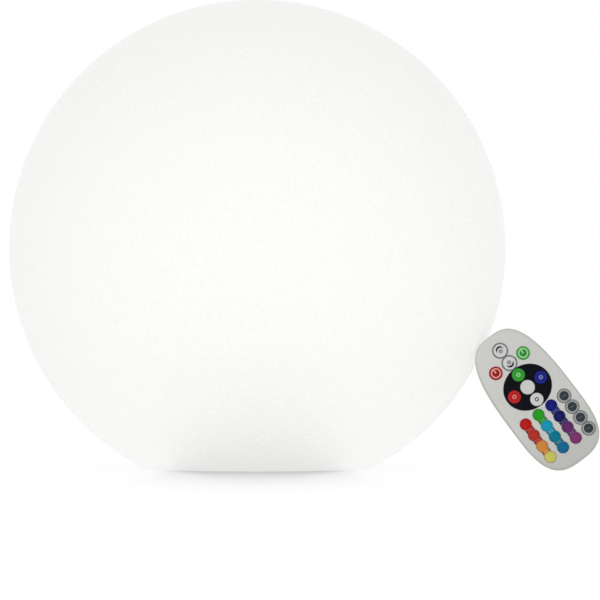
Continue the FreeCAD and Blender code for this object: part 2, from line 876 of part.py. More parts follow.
def handset_front_shell():
    """The handset's face: plate with the key holes, side wall and the lip that enters the back."""
    above_split = block(0, 0, 2 * handset_length, 2 * handset_length, handset_split, 2 * handset_thickness)
    shell = handset_outside().common(above_split)
    shell = shell.cut(handset_outline(handset_wall, handset_split, plate_under))
    lip_outer = handset_wall + lip_clearance
    lip_low = handset_split - lip_height
    lip = handset_outline(lip_outer, lip_low, plate_under).cut(
        handset_outline(lip_outer + lip_thickness, lip_low, plate_under)
    )
    shell = fuse_all(shell, [lip])
    holes = [
        disc(radius + key_clearance, plate_under, 2 * handset_thickness, u, v)
        for u, v, radius in key_layout().values()
    ]
    wells = [
        disc(radius + key_clearance + key_flange_overlap + key_clearance, lip_low, plate_under, u, v)
        for u, v, radius in key_layout().values()
    ]
    seat = oval(panel_half_width + panel_fit, panel_half_height + panel_fit,
                handset_thickness - panel_recess, handset_thickness)
    island = disc(panel_hub_radius - panel_fit, handset_thickness - panel_recess, handset_thickness,
                  0, panel_centre_v)
    return cut_all(shell, holes + wells + [seat.cut(island), tray_slot(), emitter_bore()])


def oval(half_width, half_height, low, high):
    """An upright oval solid at the handset panel's centre."""
    centre = Vector(0, panel_centre_v, low)
    curve = Part.Ellipse(centre + Vector(half_width, 0, 0), centre + Vector(0, half_height, 0), centre)
    return Part.Face(Part.Wire(curve.toShape())).extrude(Vector(0, 0, high - low))


def face_panel():
    """The dark oval panel let into the face, open for its four keys and its middle."""
    low = handset_thickness - panel_recess
    high = low + panel_thickness
    hub = disc(panel_hub_radius, low, high, 0, panel_centre_v)
    holes = [
        disc(radius + key_clearance, low, high, u, v)
        for name, (u, v, radius) in key_layout().items()
        if name in ("key_green", "key_red", "key_blue", "key_white")
    ]
    return cut_all(oval(panel_half_width, panel_half_height, low, high), holes + [hub])


def key_layout():
    """Each key's name, with its centre and cap radius on the handset's face."""
    layout = {
        "key_brighter": (0.0, upper_key_v, round_key_radius),
        "key_dimmer": (0.0, middle_key_v, round_key_radius),
        "key_off": (-side_key_u, middle_key_v, round_key_radius),
        "key_on": (side_key_u, middle_key_v, round_key_radius),
        "key_green": (0.0, panel_centre_v + panel_key_reach_v, round_key_radius),
        "key_red": (-panel_key_reach_u, panel_centre_v, round_key_radius),
        "key_blue": (panel_key_reach_u, panel_centre_v, round_key_radius),
        "key_white": (0.0, panel_centre_v - panel_key_reach_v, round_key_radius),
    }
    for column in range(grid_count):
        for row in range(grid_count):
            name = f"key_row{row + 1}_column{column + 1}"
            layout[name] = (grid_u(column), grid_top_v - row * grid_pitch_v, grid_key_radius)
    return layout


def grid_u(column):
    """The place across the face of one column of the key grid."""
    return (column - (grid_count - 1) / 2) * grid_pitch_u


def handset_key(u, v, radius):
    """A key: crowned cap in its hole, and a flange that keeps it behind the plate."""
    flange = radius + key_clearance + key_flange_overlap
    flange_top_level = key_low + key_flange_thickness
    edge = handset_thickness + key_edge_rise
    crown = handset_thickness + key_crown_rise
    shoulder = Vector(radius, 0, edge)
    sag = crown - edge
    crown_radius = (radius ** 2 + sag ** 2) / (2 * sag)
    half_across = radius / 2
    middle = Vector(half_across, 0, crown - crown_radius + math.sqrt(crown_radius ** 2 - half_across ** 2))
    summit = Vector(0, 0, crown)
    corners = [
        summit,
        Vector(0, 0, key_low),
        Vector(flange, 0, key_low),
        Vector(flange, 0, flange_top_level),
        Vector(radius, 0, flange_top_level),
        shoulder,
    ]
    lines = [Part.LineSegment(a, b).toShape() for a, b in zip(corners, corners[1:])]
    arc = Part.Arc(shoulder, middle, summit).toShape()
    key = Part.Face(Part.Wire(lines + [arc])).revolve(Vector(), UP, 360)
    key.translate(Vector(u, v, 0))
    return key


def key_web():
    """The soft sheet behind the face, open round every key, standing on the board by its rim."""
    high = plate_under - moving_gap
    low = high - key_web_thickness
    outer_inset = handset_wall + lip_clearance + lip_thickness + key_web_clearance
    sheet = handset_outline(outer_inset, low, high)
    rim = handset_outline(outer_inset, handset_board_top, low).cut(
        handset_outline(outer_inset + key_web_foot, handset_board_top, low)
    )
    spare = key_clearance + key_flange_overlap + key_web_clearance
    holes = [disc(radius + spare, handset_board_top, high, u, v) for u, v, radius in key_layout().values()]
    column_width = 2 * (grid_key_radius + spare)
    column_v = grid_top_v - grid_height / 2
    columns = [
        block(grid_u(c), column_v, column_width, grid_height, low, high)
        for c in range(grid_count)
    ]
    bridge_v = (middle_key_v + panel_centre_v + panel_key_reach_v) / 2
    bridge = block(0, bridge_v, 2 * round_key_radius, round_key_radius, low, high)
    return cut_all(fuse_all(sheet, [rim]), holes + columns + [bridge])


def handset_board():
    """The handset's circuit board, notched for the emitter."""
    inset = handset_wall + lip_clearance + lip_thickness + handset_board_gap
    board = handset_outline(inset, handset_board_seat, handset_board_top)
    notch_v = emitter_back_v() - emitter_lead_length
    reach = handset_length / 2 - notch_v
    notch = block(0, notch_v + reach / 2, emitter_notch_width, reach, handset_board_seat, handset_board_top)
    return board.cut(notch)


def handset_chip_body():
    """The chip under the handset's board."""
    u, v, width, depth, height = handset_chip
    return block(u, v, width, depth, handset_board_seat - height, handset_board_seat)


def ir_emitter():
    """The emitter at the handset's top end: round body with a domed tip, flange and two leads."""
    back = emitter_back_v()
    along = Vector(0, 1, 0)
    straight = emitter_length - emitter_radius
    body = Part.makeCylinder(emitter_radius, straight, Vector(0, back, emitter_level), along)
    tip = Part.makeSphere(emitter_radius, Vector(0, back + straight, emitter_level))
    flange = Part.makeCylinder(
        emitter_flange_radius, emitter_flange_thickness, Vector(0, back, emitter_level), along
    )
    leads = [
        block(u, back - emitter_lead_length / 2, emitter_lead_width, emitter_lead_length,
              handset_board_seat, handset_board_seat + emitter_lead_width)
        for u in (-emitter_lead_spacing, emitter_lead_spacing)
    ]
    return fuse_all(body, [tip, flange] + leads)


def battery_contacts():
    """The two sprung strips under the handset's board, just over the coin cell."""
    strips = []
    low = tray_top + contact_gap
    for u in contact_offsets:
        strip = block(u, coin_v, contact_width, contact_length, handset_board_seat - contact_thickness,
                      handset_board_seat)
        nib = block(u, coin_v, contact_width, contact_width, low, handset_board_seat)
        strips.append(fuse_all(strip, [nib]))
    return strips


def battery_tray():
    """The tray for the coin cell; its end is part of the handset's outside."""
    length = handset_length / 2 + tray_inner_end
    body = block(0, tray_inner_end - length / 2, tray_width, length, tray_low, tray_top)
    pocket = disc(coin_radius + coin_clearance, tray_low + tray_floor, tray_top, 0, coin_v)
    return body.common(handset_outside()).cut(pocket)


def coin_cell():
    """The coin cell in its tray."""
    low = tray_low + tray_floor
    return disc(coin_radius, low, low + coin_thickness, 0, coin_v)


def leaning_placement():
    """Where the handset leans: its end on the ground and its side just clear of the globe."""
    turn = FreeCAD.Rotation(Vector(1, 0, 0), -handset_lean).multiply(
        FreeCAD.Rotation(Vector(0, 1, 0), -handset_roll)
    ).multiply(FreeCAD.Rotation(Vector(1, 0, 0), 90))
    body = handset_outside()
    body.Placement = FreeCAD.Placement(Vector(globe_radius + handset_length, -handset_forward, 0), turn)
    far_below = -2 * handset_length
    reach = 2 * globe_diameter
    below = Part.makePlane(2 * reach, 2 * reach, Vector(-reach, -reach, far_below))
    body.translate(Vector(0, 0, ground - far_below - body.distToShape(below)[0]))
    centre = Vector(0, 0, centre_height)
    middle = Part.Vertex(centre)
    for _ in range(seat_tries):
        distance, pairs = body.distToShape(middle)[:2]
        gap = distance - globe_radius - handset_touch
        if abs(gap) < seat_tolerance:
            break
        outward = (pairs[0][0] - centre).normalize()
        body.translate(Vector(-gap / outward.x, 0, 0))
    return body.Placement


def lamp_nodes():
    """Every piece of the globe, by name."""
    return {
        "globe_shell": globe_shell(),
        "shell_gasket": shell_gasket(),
        "module_housing": module_housing(),
        "flange_screws": flange_screws(),
        "base_cover": base_cover(),
        "cover_gasket": cover_gasket(),
        "cover_screws": cover_screws(),
        "inner_screws": inner_screws(),
        "battery_cells": battery_cells(),
        "cell_tabs": cell_tabs(),
        "battery_cradle": battery_cradle(),
        "battery_leads": battery_leads(),
        "control_board": control_board(),
        "board_parts": board_parts(),
        "power_switch": power_switch(),
        "switch_plunger": switch_plunger(),
        "power_button": power_button(),
        "button_seal": button_seal(),
        "charge_jack": charge_jack(),
        "jack_stopper": jack_stopper(),
        "charge_light": charge_light(),
        "lamp_board": lamp_board(),
        "lamp_chips": lamp_chips(),
        "lamp_leads": lamp_leads(),
        "ir_receiver": ir_receiver(),
        "lamp_dome": lamp_dome(),
    }


def handset_nodes():
    """Every piece of the handset, by name, in the handset's own frame: face at +Z, top end at +Y."""
    nodes = {
        "handset_back_shell": handset_back_shell(),
        "handset_front_shell": handset_front_shell(),
        "face_panel": face_panel(),
        "key_web": key_web(),
        "handset_board": handset_board(),
        "handset_chip": handset_chip_body(),
        "ir_emitter": ir_emitter(),
        "battery_contacts": battery_contacts(),
        "battery_tray": battery_tray(),
        "coin_cell": coin_cell(),
    }
    for name, (u, v, radius) in key_layout().items():
        nodes[name] = handset_key(u, v, radius)
    return nodes


def write_step(name, shape):
    """One STEP file for a piece, or for a group of like pieces."""
    if isinstance(shape, list):
        shape = Part.makeCompound(shape)
    if not shape.isValid() or not shape.Solids:
        raise ValueError(f"{name} is not a valid solid")
    shape.exportStep(f"parts/{name}.step")
    print(f"{name}: {len(shape.Solids)} solids, {shape.Volume:.1f} mm3")


def main():
    """Builds every piece and writes it."""
    os.makedirs("parts", exist_ok=True)
    for name, shape in lamp_nodes().items():
        write_step(name, shape)
    lean = leaning_placement()
    print("handset placement", lean)
    for name, shape in handset_nodes().items():
        group = shape if isinstance(shape, list) else [shape]
        placed = [moved(solid, lean) for solid in group]
        write_step(name, placed if len(placed) > 1 else placed[0])


def moved(solid, placement):
    """A copy of a solid carried from its own frame to its place."""
    copy = solid.copy()
    copy.Placement = placement.multiply(copy.Placement)
    return copy


main()
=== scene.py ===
"""Garden globe light: the finish of every piece, the printed marks and the studio.

Metres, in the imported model's own frame: +Z up, the origin under the middle of the flat base, and -Y
the side that the handset's face looks to. The handset has axes of its own, which are read from its
joints: across its face, along it towards the top end, and out of it.
"""

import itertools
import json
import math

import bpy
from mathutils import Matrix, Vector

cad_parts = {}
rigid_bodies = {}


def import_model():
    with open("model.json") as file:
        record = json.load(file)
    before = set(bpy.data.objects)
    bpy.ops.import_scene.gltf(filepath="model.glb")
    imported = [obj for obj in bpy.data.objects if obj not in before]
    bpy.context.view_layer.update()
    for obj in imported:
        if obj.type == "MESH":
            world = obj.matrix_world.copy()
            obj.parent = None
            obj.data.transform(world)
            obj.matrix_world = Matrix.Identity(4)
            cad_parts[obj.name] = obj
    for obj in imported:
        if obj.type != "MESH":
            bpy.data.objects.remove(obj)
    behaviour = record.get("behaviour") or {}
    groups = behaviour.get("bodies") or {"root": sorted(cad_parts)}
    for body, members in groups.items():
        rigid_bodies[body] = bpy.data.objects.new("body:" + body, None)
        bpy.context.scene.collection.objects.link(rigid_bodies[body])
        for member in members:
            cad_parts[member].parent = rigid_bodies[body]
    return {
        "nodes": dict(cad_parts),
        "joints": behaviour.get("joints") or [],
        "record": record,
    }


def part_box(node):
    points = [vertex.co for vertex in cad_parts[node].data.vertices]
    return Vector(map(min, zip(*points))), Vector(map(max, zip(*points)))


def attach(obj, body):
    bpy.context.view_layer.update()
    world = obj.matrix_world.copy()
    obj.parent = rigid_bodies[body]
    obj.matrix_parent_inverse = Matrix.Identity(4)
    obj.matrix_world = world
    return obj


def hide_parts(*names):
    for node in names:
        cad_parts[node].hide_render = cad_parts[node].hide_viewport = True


bl_info = {
    "name": "Garden Globe Light",
    "version": (1, 0, 0),
    "blender": (4, 5, 0),
    "location": "View3D > Sidebar > Globe Light",
    "description": "Finishes the pieces of a garden globe light and its handset",
    "category": "Object",
}

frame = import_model()

MM = 0.001
WHITE = (1.0, 1.0, 1.0, 1.0)
NODES = frame["nodes"]
BODY_OF = {node: body for body, nodes in frame["record"]["behaviour"]["bodies"].items() for node in nodes}
JOINTS = {joint["name"]: joint for joint in frame["joints"]}


# The handset's own axes and places


def handset_axes():
    """The handset's axes as the columns of a matrix: across the face, along it, and out of it."""
    out = -Vector(JOINTS["key_red_press"]["axis"])
    along = -Vector(JOINTS["battery_tray_pull"]["axis"])
    across = along.cross(out)
    return Matrix((across, along, out)).transposed()


AXES = handset_axes()
HANDSET_TURN = AXES.to_euler()


def reach(node):
    """The lowest and highest corner of a handset node, measured along the handset's axes."""
    to_axes = AXES.transposed()
    points = [to_axes @ vertex.co for vertex in NODES[node].data.vertices]
    low = Vector([min(p[i] for p in points) for i in range(3)])
    high = Vector([max(p[i] for p in points) for i in range(3)])
    return low, high


def face_level():
    """The height of the handset's face along its outward axis."""
    return reach("handset_front_shell")[1].z


def key_seat(node):
    """A key's middle across and along the face, at the face's level, and its flange's radius."""
    low, high = reach(node)
    middle = (low + high) / 2
    return Vector((middle.x, middle.y, face_level())), (high.x - low.x) / 2


def placement(centre):
    """The transform from a piece's own axes to its place on the handset."""
    return Matrix.Translation(AXES @ centre) @ AXES.to_4x4()


def srgb(red, green, blue):
    """A colour read from 0 to 255, as Blender's linear numbers and full opacity."""
    def linear(value):
        value /= 255
        return value / 12.92 if value <= 0.04045 else ((value + 0.055) / 1.055) ** 2.4
    return linear(red), linear(green), linear(blue), 1.0


# Colours of the handset, of its keys and of their marks
PALE_KEY = srgb(208, 210, 209)
BLACK_PANEL = srgb(12, 14, 21)
CASE_GREY = srgb(204, 205, 200)
MODE_KEY = srgb(50, 59, 65)
RIM_GREY = srgb(168, 172, 172)
MODE_INK = srgb(108, 112, 111)
OUTLINE_INK = srgb(104, 107, 107)
DARK_INK = srgb(34, 36, 40)
SOFT_INK = srgb(150, 152, 152)
KEY_COLOURS = {
    "key_brighter": PALE_KEY,
    "key_dimmer": PALE_KEY,
    "key_off": srgb(168, 40, 40),
    "key_on": srgb(66, 160, 68),
    "key_green": srgb(50, 150, 50),
    "key_red": srgb(176, 34, 36),
    "key_blue": srgb(24, 32, 124),
    "key_white": PALE_KEY,
    "key_row1_column1": srgb(180, 26, 22),
    "key_row2_column1": srgb(178, 50, 38),
    "key_row3_column1": srgb(208, 134, 62),
    "key_row4_column1": srgb(200, 197, 96),
    "key_row1_column2": srgb(38, 154, 36),
    "key_row2_column2": srgb(22, 148, 182),
    "key_row3_column2": srgb(10, 116, 140),
    "key_row4_column2": srgb(20, 102, 148),
    "key_row1_column3": srgb(16, 26, 116),
    "key_row2_column3": srgb(24, 22, 88),
    "key_row3_column3": srgb(98, 42, 104),
    "key_row4_column3": srgb(124, 52, 108),
}
SWITCH_INKS = {
    "key_off": srgb(228, 158, 150),
    "key_on": srgb(156, 214, 154),
}
BRIGHTNESS_SIDES = {"key_brighter": 1, "key_dimmer": -1}
MAIN_INKS = {
    "key_green": srgb(150, 222, 150),
    "key_red": srgb(226, 136, 122),
    "key_blue": srgb(134, 140, 196),
}
GRID_ROWS = 4
MODE_KEYS = [f"key_row{row}_column4" for row in range(1, GRID_ROWS + 1)]
LINKED_COLUMNS = (1, 2, 3)

# A key's flange beyond its cap, the flange's thickness, how far the crown stands over the cap's edge,
# the gap round the cap in the face, and how far the front shell's lip reaches below the case's seam
FLANGE_OVER_CAP = 0.35 * MM
FLANGE_THICKNESS = 0.4 * MM
CROWN_SAG = 0.55 * MM
OPENING_GAP = 0.2 * MM
LIP_DEPTH = 0.8 * MM

# How finely the ball's outline, a key and a printed ring are turned
OUTSIDE_STEPS = 150
FOOT_STEPS = 6
INSIDE_STEPS = 90
CROWN_RINGS = 10
EDGE_STEPS = 5
KEY_SIDES = 48
RING_SIDES = 64

# The printed links: where they start from a key's middle, and half the width of their pale inside
LINK_START = 2.7 * MM
LINK_INSIDE = 1.5 * MM

# The printed rings: their width, and their gaps from the caps of the mode and the brightness keys
RING_WIDTH = 0.6 * MM
MODE_RING_GAP = 0.32 * MM
OUTLINE_RING_GAP = 0.25 * MM

# Where the photograph shows the ball: its middle and its radius, in pixels of the square frame
FRAME_PIXELS = 600
BALL_MIDDLE_PIXELS = (257.35, 247.73)
BALL_RADIUS_PIXELS = 248.06


# Shader expressions


class Wire:
    """A node's output that takes part in arithmetic, each step adding one Math node."""

    def __init__(self, nodes, socket):
        self.nodes = nodes
        self.socket = socket

    def math(self, operation, *values):
        """One Math node on this value and the others."""
        made = self.nodes.node("ShaderNodeMath", {"operation": operation}, [self, *values])
        return Wire(self.nodes, made.outputs[0])

    def reverse(self, operation, value):
        """One Math node with this value second."""
        made = self.nodes.node("ShaderNodeMath", {"operation": operation}, [value, self])
        return Wire(self.nodes, made.outputs[0])

    def __add__(self, other):
        return self.math("ADD", other)

    def __radd__(self, other):
        return self.reverse("ADD", other)

    def __sub__(self, other):
        return self.math("SUBTRACT", other)

    def __rsub__(self, other):
        return self.reverse("SUBTRACT", other)

    def __mul__(self, other):
        return self.math("MULTIPLY", other)

    def __rmul__(self, other):
        return self.reverse("MULTIPLY", other)

    def __truediv__(self, other):
        return self.math("DIVIDE", other)

    def __rtruediv__(self, other):
        return self.reverse("DIVIDE", other)

    def __abs__(self):
        return self.math("ABSOLUTE")

    def root(self):
        """The square root."""
        return self.math("SQRT")

    def fraction(self):
        """What is left over a whole number."""
        return self.math("FRACT")

    def least(self, other):
        """The smaller of the two."""
        return self.math("MINIMUM", other)

    def most(self, other):
        """The larger of the two."""
        return self.math("MAXIMUM", other)

    def below(self, edge, softness):
        """1 where the value is under the edge and 0 above it, fading over the softness."""
        faded = (edge - self) / softness + 0.5
        return faded.most(0.0).least(1.0)

    def above(self, edge, softness):
        """1 where the value is over the edge and 0 under it."""
        return 1.0 - self.below(edge, softness)


class Nodes:
    """A node tree while it is being built."""

    def __init__(self, tree):
        self.tree = tree

    def node(self, kind, settings=None, values=None):
        """Adds a node. The settings are set first, then its inputs, by name, by place or in order."""
        made = self.tree.nodes.new(kind)
        for name, value in (settings or {}).items():
            setattr(made, name, value)
        pairs = values.items() if isinstance(values, dict) else enumerate(values or [])
        for key, value in pairs:
            self.feed(made.inputs[key], value)
        return made

    def feed(self, socket, value):
        """Links a wire or a socket to an input, or sets its value."""
        if isinstance(value, Wire):
            value = value.socket
        if isinstance(value, bpy.types.NodeSocket):
            self.tree.links.new(value, socket)
        else:
            socket.default_value = value

    def wire(self, socket):
        """A socket as a value for arithmetic."""
        return Wire(self, socket)

    def split(self, vector):
        """The three parts of a vector."""
        parts = self.node("ShaderNodeSeparateXYZ", values={"Vector": vector})
        return [self.wire(parts.outputs[axis]) for axis in ("X", "Y", "Z")]

    def join(self, x, y, z):
        """A vector from its three parts."""
        return self.node("ShaderNodeCombineXYZ", values={"X": x, "Y": y, "Z": z}).outputs["Vector"]


class Finish(Nodes):
    """One material, built from a Principled shader and the nodes that feed it."""

    def __init__(self, name):
        self.material = bpy.data.materials.new(name)
        self.material.use_nodes = True
        super().__init__(self.material.node_tree)
        self.tree.nodes.clear()
        self.shader = self.node("ShaderNodeBsdfPrincipled")
        self.node("ShaderNodeOutputMaterial", values={"Surface": self.shader.outputs["BSDF"]})

    def places(self, centre=(0, 0, 0), turn=(0, 0, 0)):
        """Object coordinates as seen from a centre and in turned axes, in metres."""
        source = self.node("ShaderNodeTexCoord")
        mapping = self.node(
            "ShaderNodeMapping", {"vector_type": "TEXTURE"},
            {"Vector": source.outputs["Object"], "Location": centre, "Rotation": turn},
        )
        return mapping.outputs["Vector"]

    def noise(self, vector, size, detail=2.0, roughness=0.5):
        """Even noise whose grains are about the given size, from 0 to 1."""
        made = self.node(
            "ShaderNodeTexNoise", None,
            {"Vector": vector, "Scale": 1 / size, "Detail": detail, "Roughness": roughness},
        )
        return self.wire(made.outputs["Fac"])

    def mix(self, factor, first, second):
        """A colour between two colours."""
        # a Mix node has sockets for each type: 6 and 7 take its colours, and output 2 is a colour
        made = self.node("ShaderNodeMix", {"data_type": "RGBA"}, {"Factor": factor, 6: first, 7: second})
        return made.outputs[2]

    def bump(self, height, distance, strength=1.0):
        """Raises the surface by the height, which is 0 to 1, times the distance in metres."""
        made = self.node(
            "ShaderNodeBump", None, {"Height": height, "Distance": distance, "Strength": strength}
        )
        self.feed(self.shader.inputs["Normal"], made.outputs["Normal"])

    def surface(self, **values):
        """Sets the Principled shader's inputs, each named with underscores for spaces."""
        for name, value in values.items():
            self.feed(self.shader.inputs[name.replace("_", " ")], value)
        return self.material


def shade(colour, factor):
    """A colour made darker or lighter by a factor."""
    return tuple(min(1.0, part * factor) for part in colour[:3]) + (1.0,)


# Finishes


def globe_plastic():
    """Milky moulded plastic, lit from within, with the fine grain of the mould."""
    finish = Finish("milky globe plastic")
    where = finish.places()
    grain = finish.noise(where, size=0.9 * MM, detail=3.0, roughness=0.65)
    dimples = finish.noise(where, size=2.6 * MM, detail=1.0)
    cloud = finish.noise(where, size=60 * MM, detail=1.0)
    settings = bpy.context.scene.globe_light_ball
    body = tuple(settings.plastic_colour) + (1.0,)
    glow = tuple(settings.glow_colour) + (1.0,)
    speckle = ((grain - 0.5) * 2.4 + 0.5).most(0.0).least(1.0)
    _, _, height = finish.split(where)
    near_lamp = height.below(30 * MM, 50 * MM)
    finish.bump(dimples * 0.5 + grain * 0.5, distance=1.1 * MM)
    return finish.surface(
        Base_Color=finish.mix(speckle, shade(body, 0.9), shade(body, 1.04)),
        Roughness=0.52 + (grain - 0.5) * 0.2,
        Emission_Color=finish.mix(
            near_lamp * 0.6 + speckle * 0.35 + cloud * 0.05, shade(glow, 0.925), glow,
        ),
        Emission_Strength=settings.glow_strength,
        Specular_IOR_Level=0.06,
    )


def moulded_plastic(name, colour, roughness=0.45):
    """Plain moulded plastic with a fine spark-eroded texture."""
    finish = Finish(name)
    where = finish.places()
    grain = finish.noise(where, size=0.35 * MM, detail=2.0, roughness=0.6)
    drift = finish.noise(where, size=18 * MM, detail=2.0)
    tone = (drift * 0.6 + grain * 0.4).most(0.0).least(1.0)
    finish.bump(grain, distance=0.03 * MM, strength=0.5)
    return finish.surface(
        Base_Color=finish.mix(tone, shade(colour, 0.94), shade(colour, 1.05)),
        Roughness=roughness + (grain - 0.5) * 0.12,
    )


def soft_rubber(name, colour):
    """Matte rubber with a faint bloom."""
    finish = Finish(name)
    where = finish.places()
    bloom = finish.noise(where, size=6 * MM, detail=4.0, roughness=0.7)
    pores = finish.noise(where, size=0.25 * MM)
    finish.bump(pores, distance=0.02 * MM, strength=0.4)
    return finish.surface(
        Base_Color=finish.mix(bloom, shade(colour, 0.85), shade(colour, 1.2)),
        Roughness=0.7 + (bloom - 0.5) * 0.2,
    )


def plated_metal(name, colour, roughness=0.28):
    """Bright plated metal with the fine scratches of handling."""
    finish = Finish(name)
    where = finish.places()
    stretched = finish.node(
        "ShaderNodeMapping", {"vector_type": "POINT"}, {"Vector": where, "Scale": (1.0, 0.08, 1.0)}
    )
    scratches = finish.noise(stretched.outputs["Vector"], size=0.12 * MM, detail=3.0, roughness=0.7)
    dull = finish.noise(where, size=2.5 * MM, detail=3.0)
    finish.bump(scratches, distance=0.01 * MM, strength=0.5)
    return finish.surface(
        Base_Color=finish.mix(dull, shade(colour, 0.88), colour),
        Metallic=1.0,
        Roughness=roughness + (dull - 0.5) * 0.16,
    )


def circuit_board(name, colour, copper, turn=(0, 0, 0)):
    """A circuit board's coating, with the faint relief of its tracks."""
    finish = Finish(name)
    across, along, _ = finish.split(finish.places(turn=turn))
    track_pitch = 2.6 * MM
    row_pitch = 3.1 * track_pitch
    lanes = abs((across / track_pitch).fraction() - 0.5)
    rows = abs((along / row_pitch).fraction() - 0.5)
    tracks = lanes.below(0.16, 0.05).most(rows.below(0.05, 0.02))
    finish.bump(tracks, distance=0.035 * MM)
    return finish.surface(
        Base_Color=finish.mix(tracks * 0.5, colour, copper),
        Roughness=0.35 - tracks * 0.08,
        Coat_Weight=0.3,
    )


def clear_plastic(name, tint, roughness):
    """Clear moulded plastic with a light haze."""
    finish = Finish(name)
    haze = finish.noise(finish.places(), size=5 * MM, detail=3.0)
    finish.bump(haze, distance=0.02 * MM, strength=0.3)
    return finish.surface(
        Base_Color=finish.mix(haze, shade(tint, 0.95), tint),
        Roughness=roughness + haze * 0.06,
        Transmission_Weight=0.9,
        IOR=1.49,
    )


def cell_wrap():
    """The shrunk sleeve of a round cell: glossy blue with a ring of bare metal at each end."""
    finish = Finish("cell sleeve")
    low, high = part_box("battery_cells")
    middle = (low + high) / 2
    along, _, _ = finish.split(finish.places(centre=middle))
    half = (high.x - low.x) / 2
    sleeve = abs(along).below(half - 1.2 * MM, 0.1 * MM)
    wrinkles = finish.noise(finish.places(), size=3 * MM, detail=4.0)
    finish.bump(wrinkles * sleeve, distance=0.05 * MM, strength=0.6)
    return finish.surface(
        Base_Color=finish.mix(sleeve, srgb(190, 188, 182), srgb(28, 92, 142)),
        Metallic=1.0 - sleeve,
        Roughness=0.32 + (wrinkles - 0.5) * 0.1,
    )


def lead_cover():
    """The red sheath of the leads, slightly dusty."""
    finish = Finish("lead sheath")
    dust = finish.noise(finish.places(), size=1.2 * MM, detail=3.0)
    finish.bump(dust, distance=0.02 * MM, strength=0.4)
    return finish.surface(
        Base_Color=finish.mix(dust * 0.4, srgb(178, 26, 24), srgb(206, 120, 112)),
        Roughness=0.5 + (dust - 0.5) * 0.1,
    )


def lamp_chip_finish():
    """The amber-tinted resin window of a lamp chip in its white frame."""
    finish = Finish("lamp chip resin")
    low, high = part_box("lamp_chips")
    _, _, height = finish.split(finish.places(centre=(0, 0, low.z)))
    window = height.above((high.z - low.z) * 0.9, 0.05 * MM)
    specks = finish.noise(finish.places(), size=0.4 * MM)
    finish.bump(specks, distance=0.02 * MM, strength=0.3)
    return finish.surface(
        Base_Color=finish.mix(window, srgb(236, 236, 230), srgb(236, 208, 120)),
        Roughness=0.4 + (specks - 0.5) * 0.1,
    )


def case_plastic():
    """The handset's pale grey case, with painted shade down its sides and at its lower end, and a dark line
    along its seam.
    """
    finish = Finish("handset case")
    colour = tuple(bpy.context.scene.globe_light_handset.case_colour) + (1.0,)
    low, high = reach("handset_front_shell")
    back = reach("handset_back_shell")[0]
    middle = Vector(((low.x + high.x) / 2, (low.y + high.y) / 2, back.z))
    _, along, out = finish.split(finish.places(centre=AXES @ middle, turn=HANDSET_TURN))
    where = finish.places(turn=HANDSET_TURN)
    grain = finish.noise(where, size=0.28 * MM, detail=2.0, roughness=0.6)
    drift = finish.noise(where, size=14 * MM, detail=2.0)
    # painted shade: the lower end of the case darker
    painted_low_end_shade = (along / (high.y - low.y)).below(-0.3, 0.35)
    # painted shade: the case darker down its sides, below the top of its face
    height = (out / (high.z - back.z)).above(0.93, 0.12)
    # partly painted side shade, partly random tone from drift and grain
    tone = (height * 0.8 + drift * 0.12 + grain * 0.08).most(0.0).least(1.0)
    seam = abs(out - (low.z - back.z) - LIP_DEPTH).below(0.12 * MM, 0.06 * MM)
    finish.bump(grain * 0.6 - seam * 6.0, distance=0.03 * MM, strength=0.8)
    # the case's colour with its painted shade down the sides, then with its painted shade at the lower end
    lit = finish.mix(tone, shade(colour, 0.74), colour)
    lit = finish.mix(painted_low_end_shade * 0.85, lit, shade(colour, 0.8))
    return finish.surface(
        Base_Color=finish.mix(seam * 0.55, lit, shade(colour, 0.35)),
        Roughness=0.42 + (grain - 0.5) * 0.12,
        Specular_IOR_Level=0.2,
    )


def panel_print():
    """The satin black panel round the four main keys."""
    finish = Finish("black panel")
    where = finish.places(turn=HANDSET_TURN)
    grain = finish.noise(where, size=0.3 * MM, detail=3.0)
    dust = finish.noise(where, size=2.2 * MM, detail=5.0, roughness=0.75).above(0.62, 0.12)
    finish.bump(grain, distance=0.015 * MM, strength=0.5)
    return finish.surface(
        Base_Color=finish.mix(dust * 0.05, BLACK_PANEL, srgb(86, 90, 98)),
        Roughness=0.55 + (grain - 0.5) * 0.12,
        Specular_IOR_Level=0.03,
    )


# Marks on the keys: each function makes a mask, from 0 to 1 over the distances across and along a key


# How softly the edge of a line, of a spot and of a rim fades
MARK_EDGE = 0.12 * MM
SPOT_EDGE = 0.14 * MM
RIM_EDGE = 0.15 * MM


def away_from_middle(across, along):
    """The distance from a key's middle."""
    return (across * across + along * along).root()


def ring_mark(radius, width):
    """A thin ring about the key's middle."""
    def mask(across, along):
        return abs(away_from_middle(across, along) - radius).below(width / 2, MARK_EDGE)
    return mask


def spot_mark(radius, height=0.0):
    """A filled spot, its middle at a height over the key's middle."""
    def mask(across, along):
        return away_from_middle(across, along - height).below(radius, SPOT_EDGE)
    return mask


def bar_mark(half_width, low, high):
    """An upright bar between two heights."""
    def mask(across, along):
        side = abs(across).below(half_width, MARK_EDGE)
        return side * along.above(low, MARK_EDGE) * along.below(high, MARK_EDGE)
    return mask


def lying(mark):
    """The same mark turned a quarter."""
    def mask(across, along):
        return mark(along, across)
    return mask


def without(mark, hole):
    """A mark with another one cut out of it."""
    def mask(across, along):
        return mark(across, along) * (1.0 - hole(across, along))
    return mask


def outside_mark(radius):
    """All that lies outside a radius."""
    def mask(across, along):
        return away_from_middle(across, along).above(radius, RIM_EDGE)
    return mask


def link_end_mark(side):
    """The end of a key that the printed link runs over; side is 1 for its upper end."""
    def mask(across, along):
        return (along * side).above(LINK_START, MARK_EDGE)
    return mask


def crescent_mark(side):
    """The crescent of a brightness key; side is 1 for brighter and -1 for dimmer."""
    outer = spot_mark(radius=2.25 * MM, height=side * 0.35 * MM)
    inner = spot_mark(radius=2.3 * MM, height=-side * 0.85 * MM)
    return without(outer, inner)


